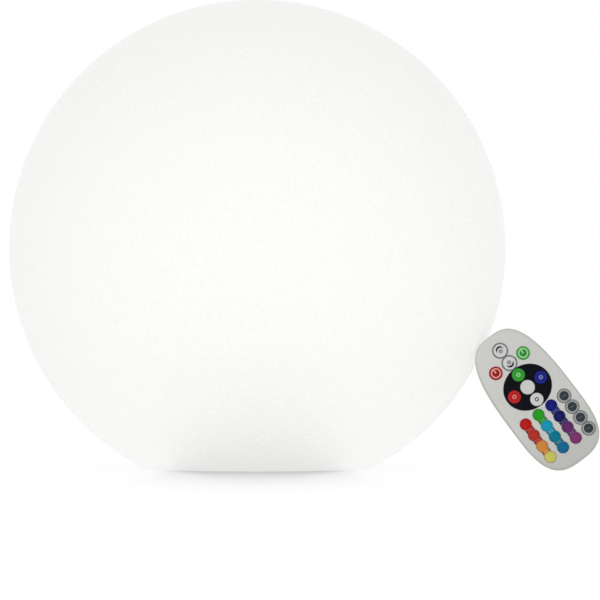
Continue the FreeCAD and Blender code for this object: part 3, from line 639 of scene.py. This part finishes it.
def crescent_ball(side):
    """The ball beside the crescent."""
    return spot_mark(radius=1.3 * MM, height=-side * 0.45 * MM)


# The switch keys' raised ring, the darker middle inside it, and the usual sign of a ring and a bar
SWITCH_RING = ring_mark(radius=2.45 * MM, width=0.7 * MM)
SWITCH_WELL = spot_mark(radius=2.15 * MM)
SWITCH_ARC = without(
    ring_mark(radius=1.35 * MM, width=0.4 * MM), bar_mark(half_width=0.6 * MM, low=0.3 * MM, high=2.0 * MM)
)
SWITCH_BAR = bar_mark(half_width=0.36 * MM, low=-0.1 * MM, high=2.3 * MM)

# The main keys' painted highlight, a paler ring near the edge, and the plain small ring that stands for a
# letter
MAIN_RING_HIGHLIGHT = ring_mark(radius=2.95 * MM, width=0.5 * MM)
SMALL_RING = ring_mark(radius=0.9 * MM, width=0.55 * MM)

# The mode keys' lighter rim, the dark line inside it, and the short plain dash in the middle
MODE_RIM = outside_mark(radius=2.6 * MM)
MODE_LINE = ring_mark(radius=2.55 * MM, width=0.2 * MM)
MODE_DASH = lying(bar_mark(half_width=0.16 * MM, low=-1.2 * MM, high=1.2 * MM))


def key_rubber(node, colour, *prints):
    """A key's smooth rubber in one colour, with painted shade round its edge, and its prints: pairs of a
    mark and an ink.
    """
    finish = Finish(f"{node} rubber")
    middle, radius = key_seat(node)
    across, along, _ = finish.split(finish.places(centre=AXES @ middle, turn=HANDSET_TURN))
    grain = finish.noise(finish.places(turn=HANDSET_TURN), size=0.3 * MM, detail=2.0)
    # painted shade: each key darker round its rounded edge
    painted_edge_shade = away_from_middle(across, along).above(radius - 0.5 * MM, 0.3 * MM)
    toned = finish.mix((grain - 0.5) * 0.5 + 0.5, shade(colour, 0.93), shade(colour, 1.06))
    toned = finish.mix(painted_edge_shade * 0.4, toned, shade(colour, 0.45))
    for mark, ink in prints:
        toned = finish.mix(mark(across, along), toned, ink)
    finish.bump(grain, distance=0.015 * MM, strength=0.5)
    return finish.surface(Base_Color=toned, Roughness=0.4 + (grain - 0.5) * 0.1, Specular_IOR_Level=0.05)


def paler(colour, factor):
    """A colour lifted by a factor and by a little white."""
    return tuple(part * factor + 0.012 for part in colour[:3]) + (1.0,)


def key_finish(node):
    """The finish of one key, by what the key does."""
    if node in MODE_KEYS:
        return key_rubber(
            node, MODE_KEY, (MODE_RIM, RIM_GREY), (MODE_LINE, DARK_INK), (MODE_DASH, MODE_INK)
        )
    colour = KEY_COLOURS[node]
    if node in SWITCH_INKS:
        ink = SWITCH_INKS[node]
        return key_rubber(
            node, colour, (SWITCH_WELL, shade(colour, 0.8)), (SWITCH_RING, ink),
            (SWITCH_ARC, shade(colour, 0.45)), (SWITCH_BAR, ink),
        )
    if node in BRIGHTNESS_SIDES:
        side = BRIGHTNESS_SIDES[node]
        return key_rubber(node, colour, (crescent_ball(side), SOFT_INK), (crescent_mark(side), DARK_INK))
    if node == "key_white":
        return key_rubber(node, colour, (SMALL_RING, DARK_INK))
    if node in MAIN_INKS:
        # painted highlight: a paler ring of the key's own colour near its edge
        return key_rubber(node, colour, (MAIN_RING_HIGHLIGHT, paler(colour, 1.05)), (SMALL_RING, MAIN_INKS[node]))
    return key_rubber(node, colour, *link_ends(node))


def link_ends(node):
    """The ends of the links that a grid key carries: the one above it and its own below it."""
    row = int(node[len("key_row")])
    ends = []
    if row > 1:
        ends.append((link_end_mark(1), link_colour(node.replace(f"row{row}", f"row{row - 1}"))))
    if row < GRID_ROWS:
        ends.append((link_end_mark(-1), link_colour(node)))
    return ends


def link_colour(upper):
    """The paler tint of a key that the link below it is printed in."""
    return paler(KEY_COLOURS[upper], 1.25)


def link_print(upper, middle):
    """A link's ink: the paler tint of the key above it, and dark at both sides."""
    finish = Finish(f"{upper} link print")
    across, _, _ = finish.split(finish.places(centre=AXES @ middle, turn=HANDSET_TURN))
    grain = finish.noise(finish.places(turn=HANDSET_TURN), size=0.2 * MM)
    inside = abs(across).below(LINK_INSIDE, 0.3 * MM) * (0.9 + grain * 0.1)
    finish.bump(grain, distance=0.01 * MM, strength=0.4)
    return finish.surface(
        Base_Color=finish.mix(inside, shade(KEY_COLOURS[upper], 0.4), link_colour(upper)),
        Roughness=0.45 + (grain - 0.5) * 0.1,
        Specular_IOR_Level=0.15,
    )


def print_finish(name, colour):
    """Printed ink on the face: flat colour with a faint screen grain."""
    finish = Finish(name)
    grain = finish.noise(finish.places(turn=HANDSET_TURN), size=0.2 * MM)
    finish.bump(grain, distance=0.01 * MM, strength=0.4)
    return finish.surface(
        Base_Color=finish.mix(grain, shade(colour, 0.9), shade(colour, 1.08)),
        Roughness=0.42 + (grain - 0.5) * 0.1,
    )


# Geometry trees


# How near two points are before they are joined, in a turned piece and in a carried-over one
TURNED_MERGE = 0.001 * MM
LOOSE_MERGE = 0.0005 * MM

# A printed link's points across and along it
LINK_POINTS = (15, 9)

# The bend between two faces, in radians, over which a carried-over piece's edge stays sharp
SHARP_ANGLE = 0.6


class Tree(Nodes):
    """One geometry tree, with its named inputs and the nodes between them."""

    def __init__(self, name, inputs):
        super().__init__(bpy.data.node_groups.new(name, "GeometryNodeTree"))
        sockets = self.tree.interface
        sockets.new_socket("Geometry", in_out="INPUT", socket_type="NodeSocketGeometry")
        for label, kind in inputs:
            sockets.new_socket(label, in_out="INPUT", socket_type=f"NodeSocket{kind}")
        sockets.new_socket("Geometry", in_out="OUTPUT", socket_type="NodeSocketGeometry")
        self.input = self.node("NodeGroupInput")

    def given(self, label):
        """One of the tree's own inputs."""
        return self.input.outputs[label]

    def value(self, label):
        """One of the tree's own inputs, for arithmetic."""
        return self.wire(self.given(label))

    def position(self):
        """The place of each point."""
        return self.node("GeometryNodeInputPosition").outputs["Position"]

    def ends_in(self, geometry):
        """Closes the tree: real geometry with its material."""
        real = self.node("GeometryNodeRealizeInstances", values={"Geometry": geometry})
        painted = self.node(
            "GeometryNodeSetMaterial", None,
            {"Geometry": real.outputs["Geometry"], "Material": self.given("Material")},
        )
        self.node("NodeGroupOutput", values={"Geometry": painted.outputs["Geometry"]})
        return self.tree


def turning_tree():
    """Turns the object's own line of points about Z: each point is a radius and a height."""
    tree = Tree("Turned piece", [("Around", "Int"), ("Along", "Int"), ("Material", "Material")])
    around = tree.value("Around")
    grid = tree.node(
        "GeometryNodeMeshGrid", None,
        {"Size X": 1.0, "Size Y": 1.0, "Vertices X": tree.given("Along"), "Vertices Y": around + 1.0},
    )
    index = tree.wire(tree.node("GeometryNodeInputIndex").outputs["Index"])
    column = (index / (around + 1.0)).math("FLOOR")
    step = index - column * (around + 1.0)
    angle = step / around * (2 * math.pi)
    profile = tree.node(
        "GeometryNodeSampleIndex", {"data_type": "FLOAT_VECTOR", "domain": "POINT"},
        {"Geometry": tree.given("Geometry"), "Value": tree.position(), "Index": column},
    )
    radius, _, height = tree.split(profile.outputs["Value"])
    place = tree.join(radius * angle.math("COSINE"), radius * angle.math("SINE"), height)
    turned_grid = tree.node(
        "GeometryNodeSetPosition", None, {"Geometry": grid.outputs["Mesh"], "Position": place}
    )
    closed = tree.node(
        "GeometryNodeMergeByDistance", None,
        {"Geometry": turned_grid.outputs["Geometry"], "Distance": TURNED_MERGE},
    )
    smooth = tree.node("GeometryNodeSetShadeSmooth", values={"Geometry": closed.outputs["Geometry"]})
    return tree.ends_in(smooth.outputs["Geometry"])


def link_tree():
    """A thin printed link between two keys: drawn in at its waist, its ends clear of the openings."""
    tree = Tree("Printed link", [
        ("Width", "Float"), ("Waist", "Float"), ("Height", "Float"), ("Thickness", "Float"),
        ("Pitch", "Float"), ("Opening Radius", "Float"), ("Material", "Material"),
    ])
    columns, rows = LINK_POINTS
    plate = tree.node(
        "GeometryNodeMeshCube", None,
        {"Size": tree.join(tree.given("Width"), 2.0, tree.given("Thickness")),
         "Vertices X": columns, "Vertices Y": rows, "Vertices Z": 2},
    )
    side, along, out = tree.split(tree.position())
    narrowing = (1.0 - tree.value("Waist") / tree.value("Width")) * (1.0 - along * along)
    across = side * (1.0 - narrowing)
    opening = tree.value("Opening Radius")
    chord = (opening * opening - across * across).most(0.0).root()
    half_length = (tree.value("Pitch") / 2 - chord).least(tree.value("Height") / 2)
    shaped = tree.node(
        "GeometryNodeSetPosition", None,
        {"Geometry": plate.outputs["Mesh"], "Position": tree.join(across, along * half_length, out)},
    )
    return tree.ends_in(shaped.outputs["Geometry"])


def smoothing_tree():
    """Joins a carried-over piece's loose triangles and rounds its shading between sharp edges."""
    tree = Tree("Smooth shading", [("Sharp Angle", "Float"), ("Material", "Material")])
    merged = tree.node(
        "GeometryNodeMergeByDistance", None, {"Geometry": tree.given("Geometry"), "Distance": LOOSE_MERGE}
    )
    bend = tree.node("GeometryNodeInputMeshEdgeAngle")
    sharp = tree.node(
        "FunctionNodeCompare", {"data_type": "FLOAT", "operation": "GREATER_THAN"},
        {"A": bend.outputs["Unsigned Angle"], "B": tree.given("Sharp Angle")},
    )
    faces = tree.node(
        "GeometryNodeSetShadeSmooth", {"domain": "FACE"}, {"Geometry": merged.outputs["Geometry"]}
    )
    edges = tree.node(
        "GeometryNodeSetShadeSmooth", {"domain": "EDGE"},
        {"Geometry": faces.outputs["Geometry"], "Shade Smooth": False, "Selection": sharp.outputs["Result"]},
    )
    return tree.ends_in(edges.outputs["Geometry"])


def fill_inputs(modifier, tree, values):
    """Sets a modifier's inputs by their sockets' identifiers."""
    for item in tree.interface.items_tree:
        if item.item_type == "SOCKET" and item.in_out == "INPUT" and item.name in values:
            modifier[item.identifier] = values[item.name]


def grown(name, tree, values, points=(), place=None):
    """A plain mesh object made by a tree, put in its place, with the tree's modifier left behind."""
    seed = bpy.data.meshes.new(f"{name} points")
    seed.from_pydata(points, [(i, i + 1) for i in range(len(points) - 1)], [])
    worker = bpy.data.objects.new(f"{name} worker", seed)
    bpy.context.scene.collection.objects.link(worker)
    modifier = worker.modifiers.new("grow", "NODES")
    modifier.node_group = tree
    fill_inputs(modifier, tree, values)
    graph = bpy.context.evaluated_depsgraph_get()
    mesh = bpy.data.meshes.new_from_object(worker.evaluated_get(graph), depsgraph=graph)
    bpy.data.objects.remove(worker)
    if place is not None:
        mesh.transform(place)
    mesh.name = name
    piece = bpy.data.objects.new(name, mesh)
    bpy.context.scene.collection.objects.link(piece)
    return piece


def tree_named(name, maker):
    """The tree of that name, made once."""
    return bpy.data.node_groups.get(name) or maker()


def turned(name, profile, around, material, place=None):
    """A round piece turned from its profile of (radius, height) points."""
    tree = tree_named("Turned piece", turning_tree)
    points = [(radius, 0.0, height) for radius, height in profile]
    values = {"Around": around, "Along": len(points), "Material": material}
    return grown(name, tree, values, points, place)


def arc(centre, radius, start, end, steps):
    """Points along an arc, the angles in degrees from +radius towards +height."""
    angles = [math.radians(start + (end - start) * i / steps) for i in range(steps + 1)]
    return [(centre[0] + radius * math.cos(a), centre[1] + radius * math.sin(a)) for a in angles]


def finish_node(node, material):
    """Gives a carried-over node its material and smooth shading."""
    piece = NODES[node]
    piece.data.materials.clear()
    piece.data.materials.append(material)
    tree = tree_named("Smooth shading", smoothing_tree)
    modifier = piece.modifiers.new("smooth shading", "NODES")
    modifier.node_group = tree
    fill_inputs(modifier, tree, {"Sharp Angle": SHARP_ANGLE, "Material": material})


def finish_nodes(nodes, material):
    """The same finish for several carried-over nodes."""
    for node in nodes:
        finish_node(node, material)


# Settings that a user would change


class BallSettings(bpy.types.PropertyGroup):
    """Sizes and colours of the ball."""

    plastic_colour: bpy.props.FloatVectorProperty(
        name="Plastic colour", description="Colour of the ball's plastic when it is off",
        subtype="COLOR", size=3, min=0.0, max=1.0, default=(0.51, 0.51, 0.507),
    )
    glow_colour: bpy.props.FloatVectorProperty(
        name="Glow colour", description="Colour of the light that comes through the ball",
        subtype="COLOR", size=3, min=0.0, max=1.0, default=(1.0, 1.0, 0.985),
    )
    glow_strength: bpy.props.FloatProperty(
        name="Glow strength", description="How brightly the ball shines", min=0.0, max=10.0, default=0.594,
    )
    wall: bpy.props.FloatProperty(
        name="Wall", description="Thickness of the ball's wall", unit="LENGTH", min=0.0, default=3.0 * MM,
    )
    foot_radius: bpy.props.FloatProperty(
        name="Foot radius", description="Inner radius of the ring that the ball stands on",
        unit="LENGTH", min=0.0, default=57.0 * MM,
    )
    foot_rounding: bpy.props.FloatProperty(
        name="Foot rounding", description="Radius of the edge round the flat base",
        unit="LENGTH", min=0.0, default=1.2 * MM,
    )
    opening_radius: bpy.props.FloatProperty(
        name="Opening radius", description="Radius of the opening that the light module enters",
        unit="LENGTH", min=0.0, default=46.0 * MM,
    )
    ledge_height: bpy.props.FloatProperty(
        name="Ledge height", description="Height of the ledge's underside over the ground",
        unit="LENGTH", min=0.0, default=3.4 * MM,
    )
    segments: bpy.props.IntProperty(
        name="Segments", description="How many sides the turned ball has", min=32, max=512, default=288,
    )


class HandsetSettings(bpy.types.PropertyGroup):
    """Sizes and colours of the handset."""

    case_colour: bpy.props.FloatVectorProperty(
        name="Case colour", description="Colour of the handset's case",
        subtype="COLOR", size=3, min=0.0, max=1.0, default=CASE_GREY[:3],
    )
    key_rounding: bpy.props.FloatProperty(
        name="Key rounding", description="Radius of the rounded edge of each key",
        unit="LENGTH", min=0.0, default=0.35 * MM,
    )
    print_thickness: bpy.props.FloatProperty(
        name="Print thickness", description="How far the printed marks stand over the face",
        unit="LENGTH", min=0.0, default=0.05 * MM,
    )
    link_width: bpy.props.FloatProperty(
        name="Link width", description="Width of the printed link between two keys, at its ends",
        unit="LENGTH", min=0.0, default=5.6 * MM,
    )
    link_waist: bpy.props.FloatProperty(
        name="Link waist", description="Width of the printed link at its middle",
        unit="LENGTH", min=0.0, default=5.0 * MM,
    )


class StudioSettings(bpy.types.PropertyGroup):
    """The camera and the light."""

    camera_distance: bpy.props.FloatProperty(
        name="Camera distance", description="From the camera to the middle of the ball",
        unit="LENGTH", min=0.1, default=3.5,
    )
    sky_strength: bpy.props.FloatProperty(
        name="Sky strength", description="Even light from all sides", min=0.0, max=5.0, default=0.55,
    )
    front_power: bpy.props.FloatProperty(
        name="Front power", description="Power of the soft lamp behind the camera", subtype="POWER",
        min=0.0, default=96.0,
    )
    floor_glow: bpy.props.FloatProperty(
        name="Floor glow", description="Light that the floor gives to the pieces",
        min=0.0, max=2.0, default=0.25,
    )
    floor_whiteness: bpy.props.FloatProperty(
        name="Floor whiteness", description="How much whiter the camera sees the floor",
        min=0.0, max=2.0, default=0.27,
    )
    shadow_strength: bpy.props.FloatProperty(
        name="Shadow strength", description="Light on the floor from each lamp that shapes the shadow",
        min=0.0, max=10.0, default=0.47,
    )


# Pieces


def globe_radius():
    """The ball's outer radius, from the widest points of its node."""
    return max(math.hypot(vertex.co.x, vertex.co.y) for vertex in NODES["globe_shell"].data.vertices)


def ball_profile(settings):
    """The ball's outline: down its outside, round its foot, over its stepped opening and up its inside."""
    low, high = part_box("globe_shell")
    radius = globe_radius()
    centre = high.z - radius
    rounding, wall = settings.foot_rounding, settings.wall
    foot, opening, ledge = settings.foot_radius, settings.opening_radius, settings.ledge_height
    # the rounded edge touches both the ground and the inside of the ball's outline
    edge = math.sqrt((radius - rounding) ** 2 - (centre - rounding) ** 2)
    turn = math.degrees(math.atan2(rounding - centre, edge))
    inner = radius - wall
    start = math.degrees(math.asin((wall - centre) / inner))
    profile = arc((0.0, centre), radius, 90, turn, OUTSIDE_STEPS)
    profile += arc((edge, rounding), rounding, turn, -90, FOOT_STEPS)[1:]
    profile += [
        (foot, low.z), (foot, ledge), (opening, ledge), (opening, ledge + wall),
        (foot + wall, ledge + wall), (foot + wall, wall),
    ]
    profile += arc((0.0, centre), inner, start, 90, INSIDE_STEPS)
    # both ends lie on the axis itself
    profile[0] = (0.0, profile[0][1])
    profile[-1] = (0.0, profile[-1][1])
    return profile


class GLOBELIGHT_OT_ball(bpy.types.Operator):
    """Turns the moulded ball, with its wall, its flat foot and the stepped opening of its base"""

    bl_idname = "globe_light.ball"
    bl_label = "Ball"

    def execute(self, context):
        settings = context.scene.globe_light_ball
        ball = turned("globe_ball", ball_profile(settings), settings.segments, globe_plastic())
        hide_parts("globe_shell")
        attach(ball, "lamp")
        return {"FINISHED"}


class GLOBELIGHT_OT_module(bpy.types.Operator):
    """Finishes the light module: housing, cover, seals, screws, button, socket and stopper"""

    bl_idname = "globe_light.module"
    bl_label = "Light module"

    def execute(self, context):
        white = moulded_plastic("housing plastic", srgb(236, 236, 233))
        finish_nodes(("module_housing", "base_cover"), white)
        seal = soft_rubber("dark seal rubber", srgb(52, 52, 54))
        finish_nodes(("shell_gasket", "cover_gasket", "button_seal", "jack_stopper"), seal)
        zinc = plated_metal("zinc screw", srgb(206, 206, 208))
        finish_nodes(("flange_screws", "cover_screws", "inner_screws"), zinc)
        black = moulded_plastic("black switch plastic", srgb(34, 34, 36), 0.4)
        finish_nodes(("power_switch", "switch_plunger", "power_button", "charge_jack"), black)
        finish_node("charge_light", clear_plastic("clear rod", srgb(238, 246, 240), 0.12))
        return {"FINISHED"}


class GLOBELIGHT_OT_electrics(bpy.types.Operator):
    """Finishes what the module holds: cells, cradle, boards, chips, leads, receiver and dome"""

    bl_idname = "globe_light.electrics"
    bl_label = "Electrics"

    def execute(self, context):
        finish_node("battery_cells", cell_wrap())
        finish_node("cell_tabs", plated_metal("nickel strip", srgb(214, 208, 196), 0.3))
        finish_node("battery_cradle", moulded_plastic("black cradle plastic", srgb(40, 40, 42), 0.5))
        finish_nodes(("battery_leads", "lamp_leads"), lead_cover())
        green = circuit_board("green board", srgb(18, 96, 54), srgb(70, 140, 80))
        finish_node("control_board", green)
        finish_nodes(("board_parts", "ir_receiver"), moulded_plastic("chip body", srgb(36, 36, 38), 0.35))
        pale = circuit_board("white lamp board", srgb(238, 238, 234), srgb(222, 222, 214))
        finish_node("lamp_board", pale)
        finish_node("lamp_chips", lamp_chip_finish())
        finish_node("lamp_dome", clear_plastic("clear dome", srgb(246, 248, 250), 0.08))
        return {"FINISHED"}


class GLOBELIGHT_OT_handset(bpy.types.Operator):
    """Finishes the handset's case, its black panel and everything inside it"""

    bl_idname = "globe_light.handset"
    bl_label = "Handset case"

    def execute(self, context):
        finish_nodes(("handset_front_shell", "handset_back_shell", "battery_tray"), case_plastic())
        finish_node("face_panel", panel_print())
        finish_node("key_web", soft_rubber("grey key rubber", srgb(120, 122, 124)))
        board = circuit_board("handset board", srgb(24, 104, 60), srgb(96, 150, 84), HANDSET_TURN)
        finish_node("handset_board", board)
        finish_node("handset_chip", moulded_plastic("handset chip body", srgb(34, 34, 36), 0.35))
        finish_node("ir_emitter", clear_plastic("tinted emitter", srgb(70, 62, 110), 0.1))
        finish_node("battery_contacts", plated_metal("sprung contact", srgb(216, 210, 190), 0.25))
        finish_node("coin_cell", plated_metal("coin cell steel", srgb(208, 208, 210), 0.22))
        return {"FINISHED"}


def key_profile(node, rounding):
    """A key's outline from its crown down its side and under its flange, about its own middle."""
    low, high = reach(node)
    level = face_level()
    flange = (high.x - low.x) / 2
    cap = flange - FLANGE_OVER_CAP
    flat = cap - rounding
    crown = high.z - level
    floor = low.z - level
    radii = [flat * ring / CROWN_RINGS for ring in range(CROWN_RINGS + 1)]
    profile = [(radius, crown - CROWN_SAG * (radius / cap) ** 2) for radius in radii]
    profile += arc((flat, profile[-1][1] - rounding), rounding, 90, 0, EDGE_STEPS)[1:]
    return profile + [
        (cap, floor + FLANGE_THICKNESS), (flange, floor + FLANGE_THICKNESS), (flange, floor), (0.0, floor),
    ]


class GLOBELIGHT_OT_keys(bpy.types.Operator):
    """Turns the crowned cap of every key and gives each its colour and mark"""

    bl_idname = "globe_light.keys"
    bl_label = "Keys"

    def execute(self, context):
        rounding = context.scene.globe_light_handset.key_rounding
        for node in [*KEY_COLOURS, *MODE_KEYS]:
            centre, _ = key_seat(node)
            profile = key_profile(node, rounding)
            cap = turned(f"{node}_cap", profile, KEY_SIDES, key_finish(node), placement(centre))
            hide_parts(node)
            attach(cap, BODY_OF[node])
        return {"FINISHED"}


class GLOBELIGHT_OT_prints(bpy.types.Operator):
    """Prints the links between the coloured keys and the rings round the grey and white ones"""

    bl_idname = "globe_light.prints"
    bl_label = "Printed marks"

    def execute(self, context):
        settings = context.scene.globe_light_handset
        for column, row in itertools.product(LINKED_COLUMNS, range(1, GRID_ROWS)):
            self.print_link(settings, f"key_row{row}_column{column}", f"key_row{row + 1}_column{column}")
        mode_ring = print_finish("grey ring print", MODE_INK)
        for place, node in enumerate(MODE_KEYS):
            self.print_ring(settings, node, MODE_RING_GAP, place % 2, mode_ring)
        outline = print_finish("grey outline print", OUTLINE_INK)
        for place, node in enumerate(BRIGHTNESS_SIDES):
            self.print_ring(settings, node, OUTLINE_RING_GAP, place, outline)
        return {"FINISHED"}

    def print_link(self, settings, upper, lower):
        """One link, in a paler tint of the upper key's colour and dark at both sides."""
        top, flange = key_seat(upper)
        bottom, _ = key_seat(lower)
        middle = (top + bottom) / 2
        pitch = (top - bottom).length
        values = {
            "Width": settings.link_width,
            "Waist": settings.link_waist,
            "Height": pitch - 2 * LINK_START,
            "Opening Radius": flange - FLANGE_OVER_CAP + OPENING_GAP,
            "Thickness": settings.print_thickness,
            "Pitch": pitch,
            "Material": link_print(upper, middle),
        }
        tree = tree_named("Printed link", link_tree)
        link = grown(f"{upper}_link", tree, values, place=placement(middle))
        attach(link, "handset")

    def print_ring(self, settings, node, gap, layer, material):
        """One flat ring on the face, a gap outside a key's cap. Rings that touch differ in layer."""
        centre, flange = key_seat(node)
        inner = flange - FLANGE_OVER_CAP + gap
        outer = inner + RING_WIDTH
        half = settings.print_thickness / (2 + layer)
        profile = [(inner, -half), (outer, -half), (outer, half), (inner, half), (inner, -half)]
        ring = turned(f"{node}_ring", profile, RING_SIDES, material, placement(centre))
        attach(ring, "handset")


# Studio


# The floor, in metres: half its width, its level and its colour
FLOOR_HALF = 12.0
FLOOR_LEVEL = -0.2 * MM
FLOOR_GREY = (0.24, 0.24, 0.24, 1.0)

# The suns that shape the shadow: their heights, turns and softness in degrees, and what blocks them
SHADOW_HEIGHTS = (7.0, 11.0, 17.0, 26.0, 40.0)
SHADOW_TURNS = (-5.0, 5.0)
SHADOW_SOFTNESS = 12
SHADOW_CASTERS = ("module_housing", "base_cover", "lamp_dome")

# The front lamp, in metres
LAMP_SIZE = 1.5
LAMP_PLACE = Vector((0.0, -6.0, 0.9))
LAMP_TARGET = Vector((0.0, 0.0, 0.12))

# The camera's sensor in millimetres and how far it sees in metres
SENSOR_WIDTH = 36.0
CAMERA_REACH = 50.0


class GLOBELIGHT_OT_studio(bpy.types.Operator):
    """Sets up the plain pale floor, the even light and the camera at the photograph's angle"""

    bl_idname = "globe_light.studio"
    bl_label = "Studio"

    def execute(self, context):
        settings = context.scene.globe_light_studio
        floor = self.add_floor(settings)
        self.keep_glow_off(floor)
        self.add_shadow_lamps(settings, floor)
        self.add_sky(context.scene, settings)
        self.add_front_lamp(settings)
        self.add_camera(context.scene, settings)
        context.scene.view_settings.view_transform = "Standard"
        return {"FINISHED"}

    def add_floor(self, settings):
        """A wide pale floor that keeps the shadow, just under the base so that their faces stay apart."""
        mesh = bpy.data.meshes.new("floor")
        square = ((-1, -1), (1, -1), (1, 1), (-1, 1))
        points = [(x * FLOOR_HALF, y * FLOOR_HALF, FLOOR_LEVEL) for x, y in square]
        mesh.from_pydata(points, [], [(0, 1, 2, 3)])
        floor = bpy.data.objects.new("floor", mesh)
        bpy.context.scene.collection.objects.link(floor)
        finish = Finish("white floor")
        rays = finish.node("ShaderNodeLightPath").outputs
        seen = finish.wire(rays["Is Camera Ray"]) * settings.floor_whiteness
        mesh.materials.append(finish.surface(
            Base_Color=FLOOR_GREY, Roughness=0.95, Specular_IOR_Level=0.0,
            Emission_Color=WHITE, Emission_Strength=seen + settings.floor_glow,
        ))
        return floor

    def keep_glow_off(self, floor):
        """Lets the ball's glow light everything but the floor, where it would wash out the shadow."""
        lit = bpy.data.collections.new("lit by the ball")
        for piece in bpy.context.scene.objects:
            if piece.type == "MESH" and piece != floor:
                lit.objects.link(piece)
        bpy.data.objects["globe_ball"].light_linking.receiver_collection = lit

    def add_sky(self, scene, settings):
        """An even sky that lights the object plainly, and looks white in itself and as a reflection."""
        sky = bpy.data.worlds.new("white sky")
        sky.use_nodes = True
        scene.world = sky
        nodes = Nodes(sky.node_tree)
        nodes.tree.nodes.clear()
        rays = nodes.node("ShaderNodeLightPath").outputs
        bounced = nodes.wire(rays["Is Glossy Ray"]).most(rays["Is Transmission Ray"])
        seen = nodes.wire(rays["Is Camera Ray"]).most(bounced)
        light = nodes.node("ShaderNodeBackground", None, {"Color": WHITE, "Strength": settings.sky_strength})
        white = nodes.node("ShaderNodeBackground", None, {"Color": WHITE})
        mixed = nodes.node("ShaderNodeMixShader", None, [seen, light.outputs[0], white.outputs[0]])
        nodes.node("ShaderNodeOutputWorld", None, {"Surface": mixed.outputs[0]})

    def add_shadow_lamps(self, settings, floor):
        """Soft suns behind the ball, which light only the floor and are blocked only by the module."""
        receivers = bpy.data.collections.new("shadow floor")
        receivers.objects.link(floor)
        blockers = bpy.data.collections.new("shadow casters")
        for node in SHADOW_CASTERS:
            blockers.objects.link(NODES[node])
        for height, turn in itertools.product(SHADOW_HEIGHTS, SHADOW_TURNS):
            light = bpy.data.lights.new(f"shadow lamp {height} {turn}", "SUN")
            light.energy = settings.shadow_strength / math.sin(math.radians(height))
            light.angle = math.radians(SHADOW_SOFTNESS)
            lamp = bpy.data.objects.new(light.name, light)
            bpy.context.scene.collection.objects.link(lamp)
            lamp.rotation_euler = (math.radians(height - 90), 0.0, math.radians(turn))
            lamp.light_linking.receiver_collection = receivers
            lamp.light_linking.blocker_collection = blockers

    def add_front_lamp(self, settings):
        """One soft square lamp behind the camera and above it, which faces the ball."""
        light = bpy.data.lights.new("front lamp", "AREA")
        light.energy = settings.front_power
        light.size = LAMP_SIZE
        lamp = bpy.data.objects.new("front lamp", light)
        bpy.context.scene.collection.objects.link(lamp)
        lamp.location = LAMP_PLACE
        lamp.rotation_euler = (LAMP_TARGET - LAMP_PLACE).to_track_quat("-Z", "Y").to_euler()

    def add_camera(self, scene, settings):
        """A long lens, level, as high over the ground as the photograph's middle row."""
        radius = globe_radius()
        centre_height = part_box("globe_shell")[1].z - radius
        scale = BALL_RADIUS_PIXELS / radius
        sideways = (FRAME_PIXELS / 2 - BALL_MIDDLE_PIXELS[0]) / scale
        upwards = (BALL_MIDDLE_PIXELS[1] - FRAME_PIXELS / 2) / scale
        distance = settings.camera_distance
        # from nearby, a ball looks a little wider than a disc of its radius
        closeness = math.sqrt(1 - (radius / distance) ** 2)
        data = bpy.data.cameras.new("camera")
        data.sensor_width = SENSOR_WIDTH
        data.lens = scale * closeness * distance * SENSOR_WIDTH / FRAME_PIXELS
        data.clip_end = CAMERA_REACH
        camera = bpy.data.objects.new("camera", data)
        scene.collection.objects.link(camera)
        camera.location = (sideways, -distance, centre_height + upwards)
        camera.rotation_euler = (math.pi / 2, 0.0, 0.0)
        scene.camera = camera


class GLOBELIGHT_PT_panel(bpy.types.Panel):
    """Lists the pieces and their settings"""

    bl_idname = "GLOBELIGHT_PT_panel"
    bl_label = "Globe Light"
    bl_space_type = "VIEW_3D"
    bl_region_type = "UI"
    bl_category = "Globe Light"

    def draw(self, context):
        for operator in OPERATORS:
            self.layout.operator(operator.bl_idname)
        for name in SETTINGS:
            group = getattr(context.scene, name)
            for prop in group.bl_rna.properties:
                if prop.identifier not in ("rna_type", "name"):
                    self.layout.prop(group, prop.identifier)


SETTINGS = {
    "globe_light_ball": BallSettings,
    "globe_light_handset": HandsetSettings,
    "globe_light_studio": StudioSettings,
}
OPERATORS = (
    GLOBELIGHT_OT_ball,
    GLOBELIGHT_OT_module,
    GLOBELIGHT_OT_electrics,
    GLOBELIGHT_OT_handset,
    GLOBELIGHT_OT_keys,
    GLOBELIGHT_OT_prints,
    GLOBELIGHT_OT_studio,
)


def register():
    """Registers the settings, the operators and the panel."""
    for name, group in SETTINGS.items():
        bpy.utils.register_class(group)
        setattr(bpy.types.Scene, name, bpy.props.PointerProperty(type=group))
    for operator in OPERATORS:
        bpy.utils.register_class(operator)
    bpy.utils.register_class(GLOBELIGHT_PT_panel)


def unregister():
    """Takes them all away again."""
    bpy.utils.unregister_class(GLOBELIGHT_PT_panel)
    for operator in reversed(OPERATORS):
        bpy.utils.unregister_class(operator)
    for name, group in SETTINGS.items():
        delattr(bpy.types.Scene, name)
        bpy.utils.unregister_class(group)


def main():
    """Makes every piece in turn."""
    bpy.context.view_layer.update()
    register()
    bpy.ops.globe_light.ball()
    bpy.ops.globe_light.module()
    bpy.ops.globe_light.electrics()
    bpy.ops.globe_light.handset()
    bpy.ops.globe_light.keys()
    bpy.ops.globe_light.prints()
    bpy.ops.globe_light.studio()


if __name__ == "__main__":
    main()
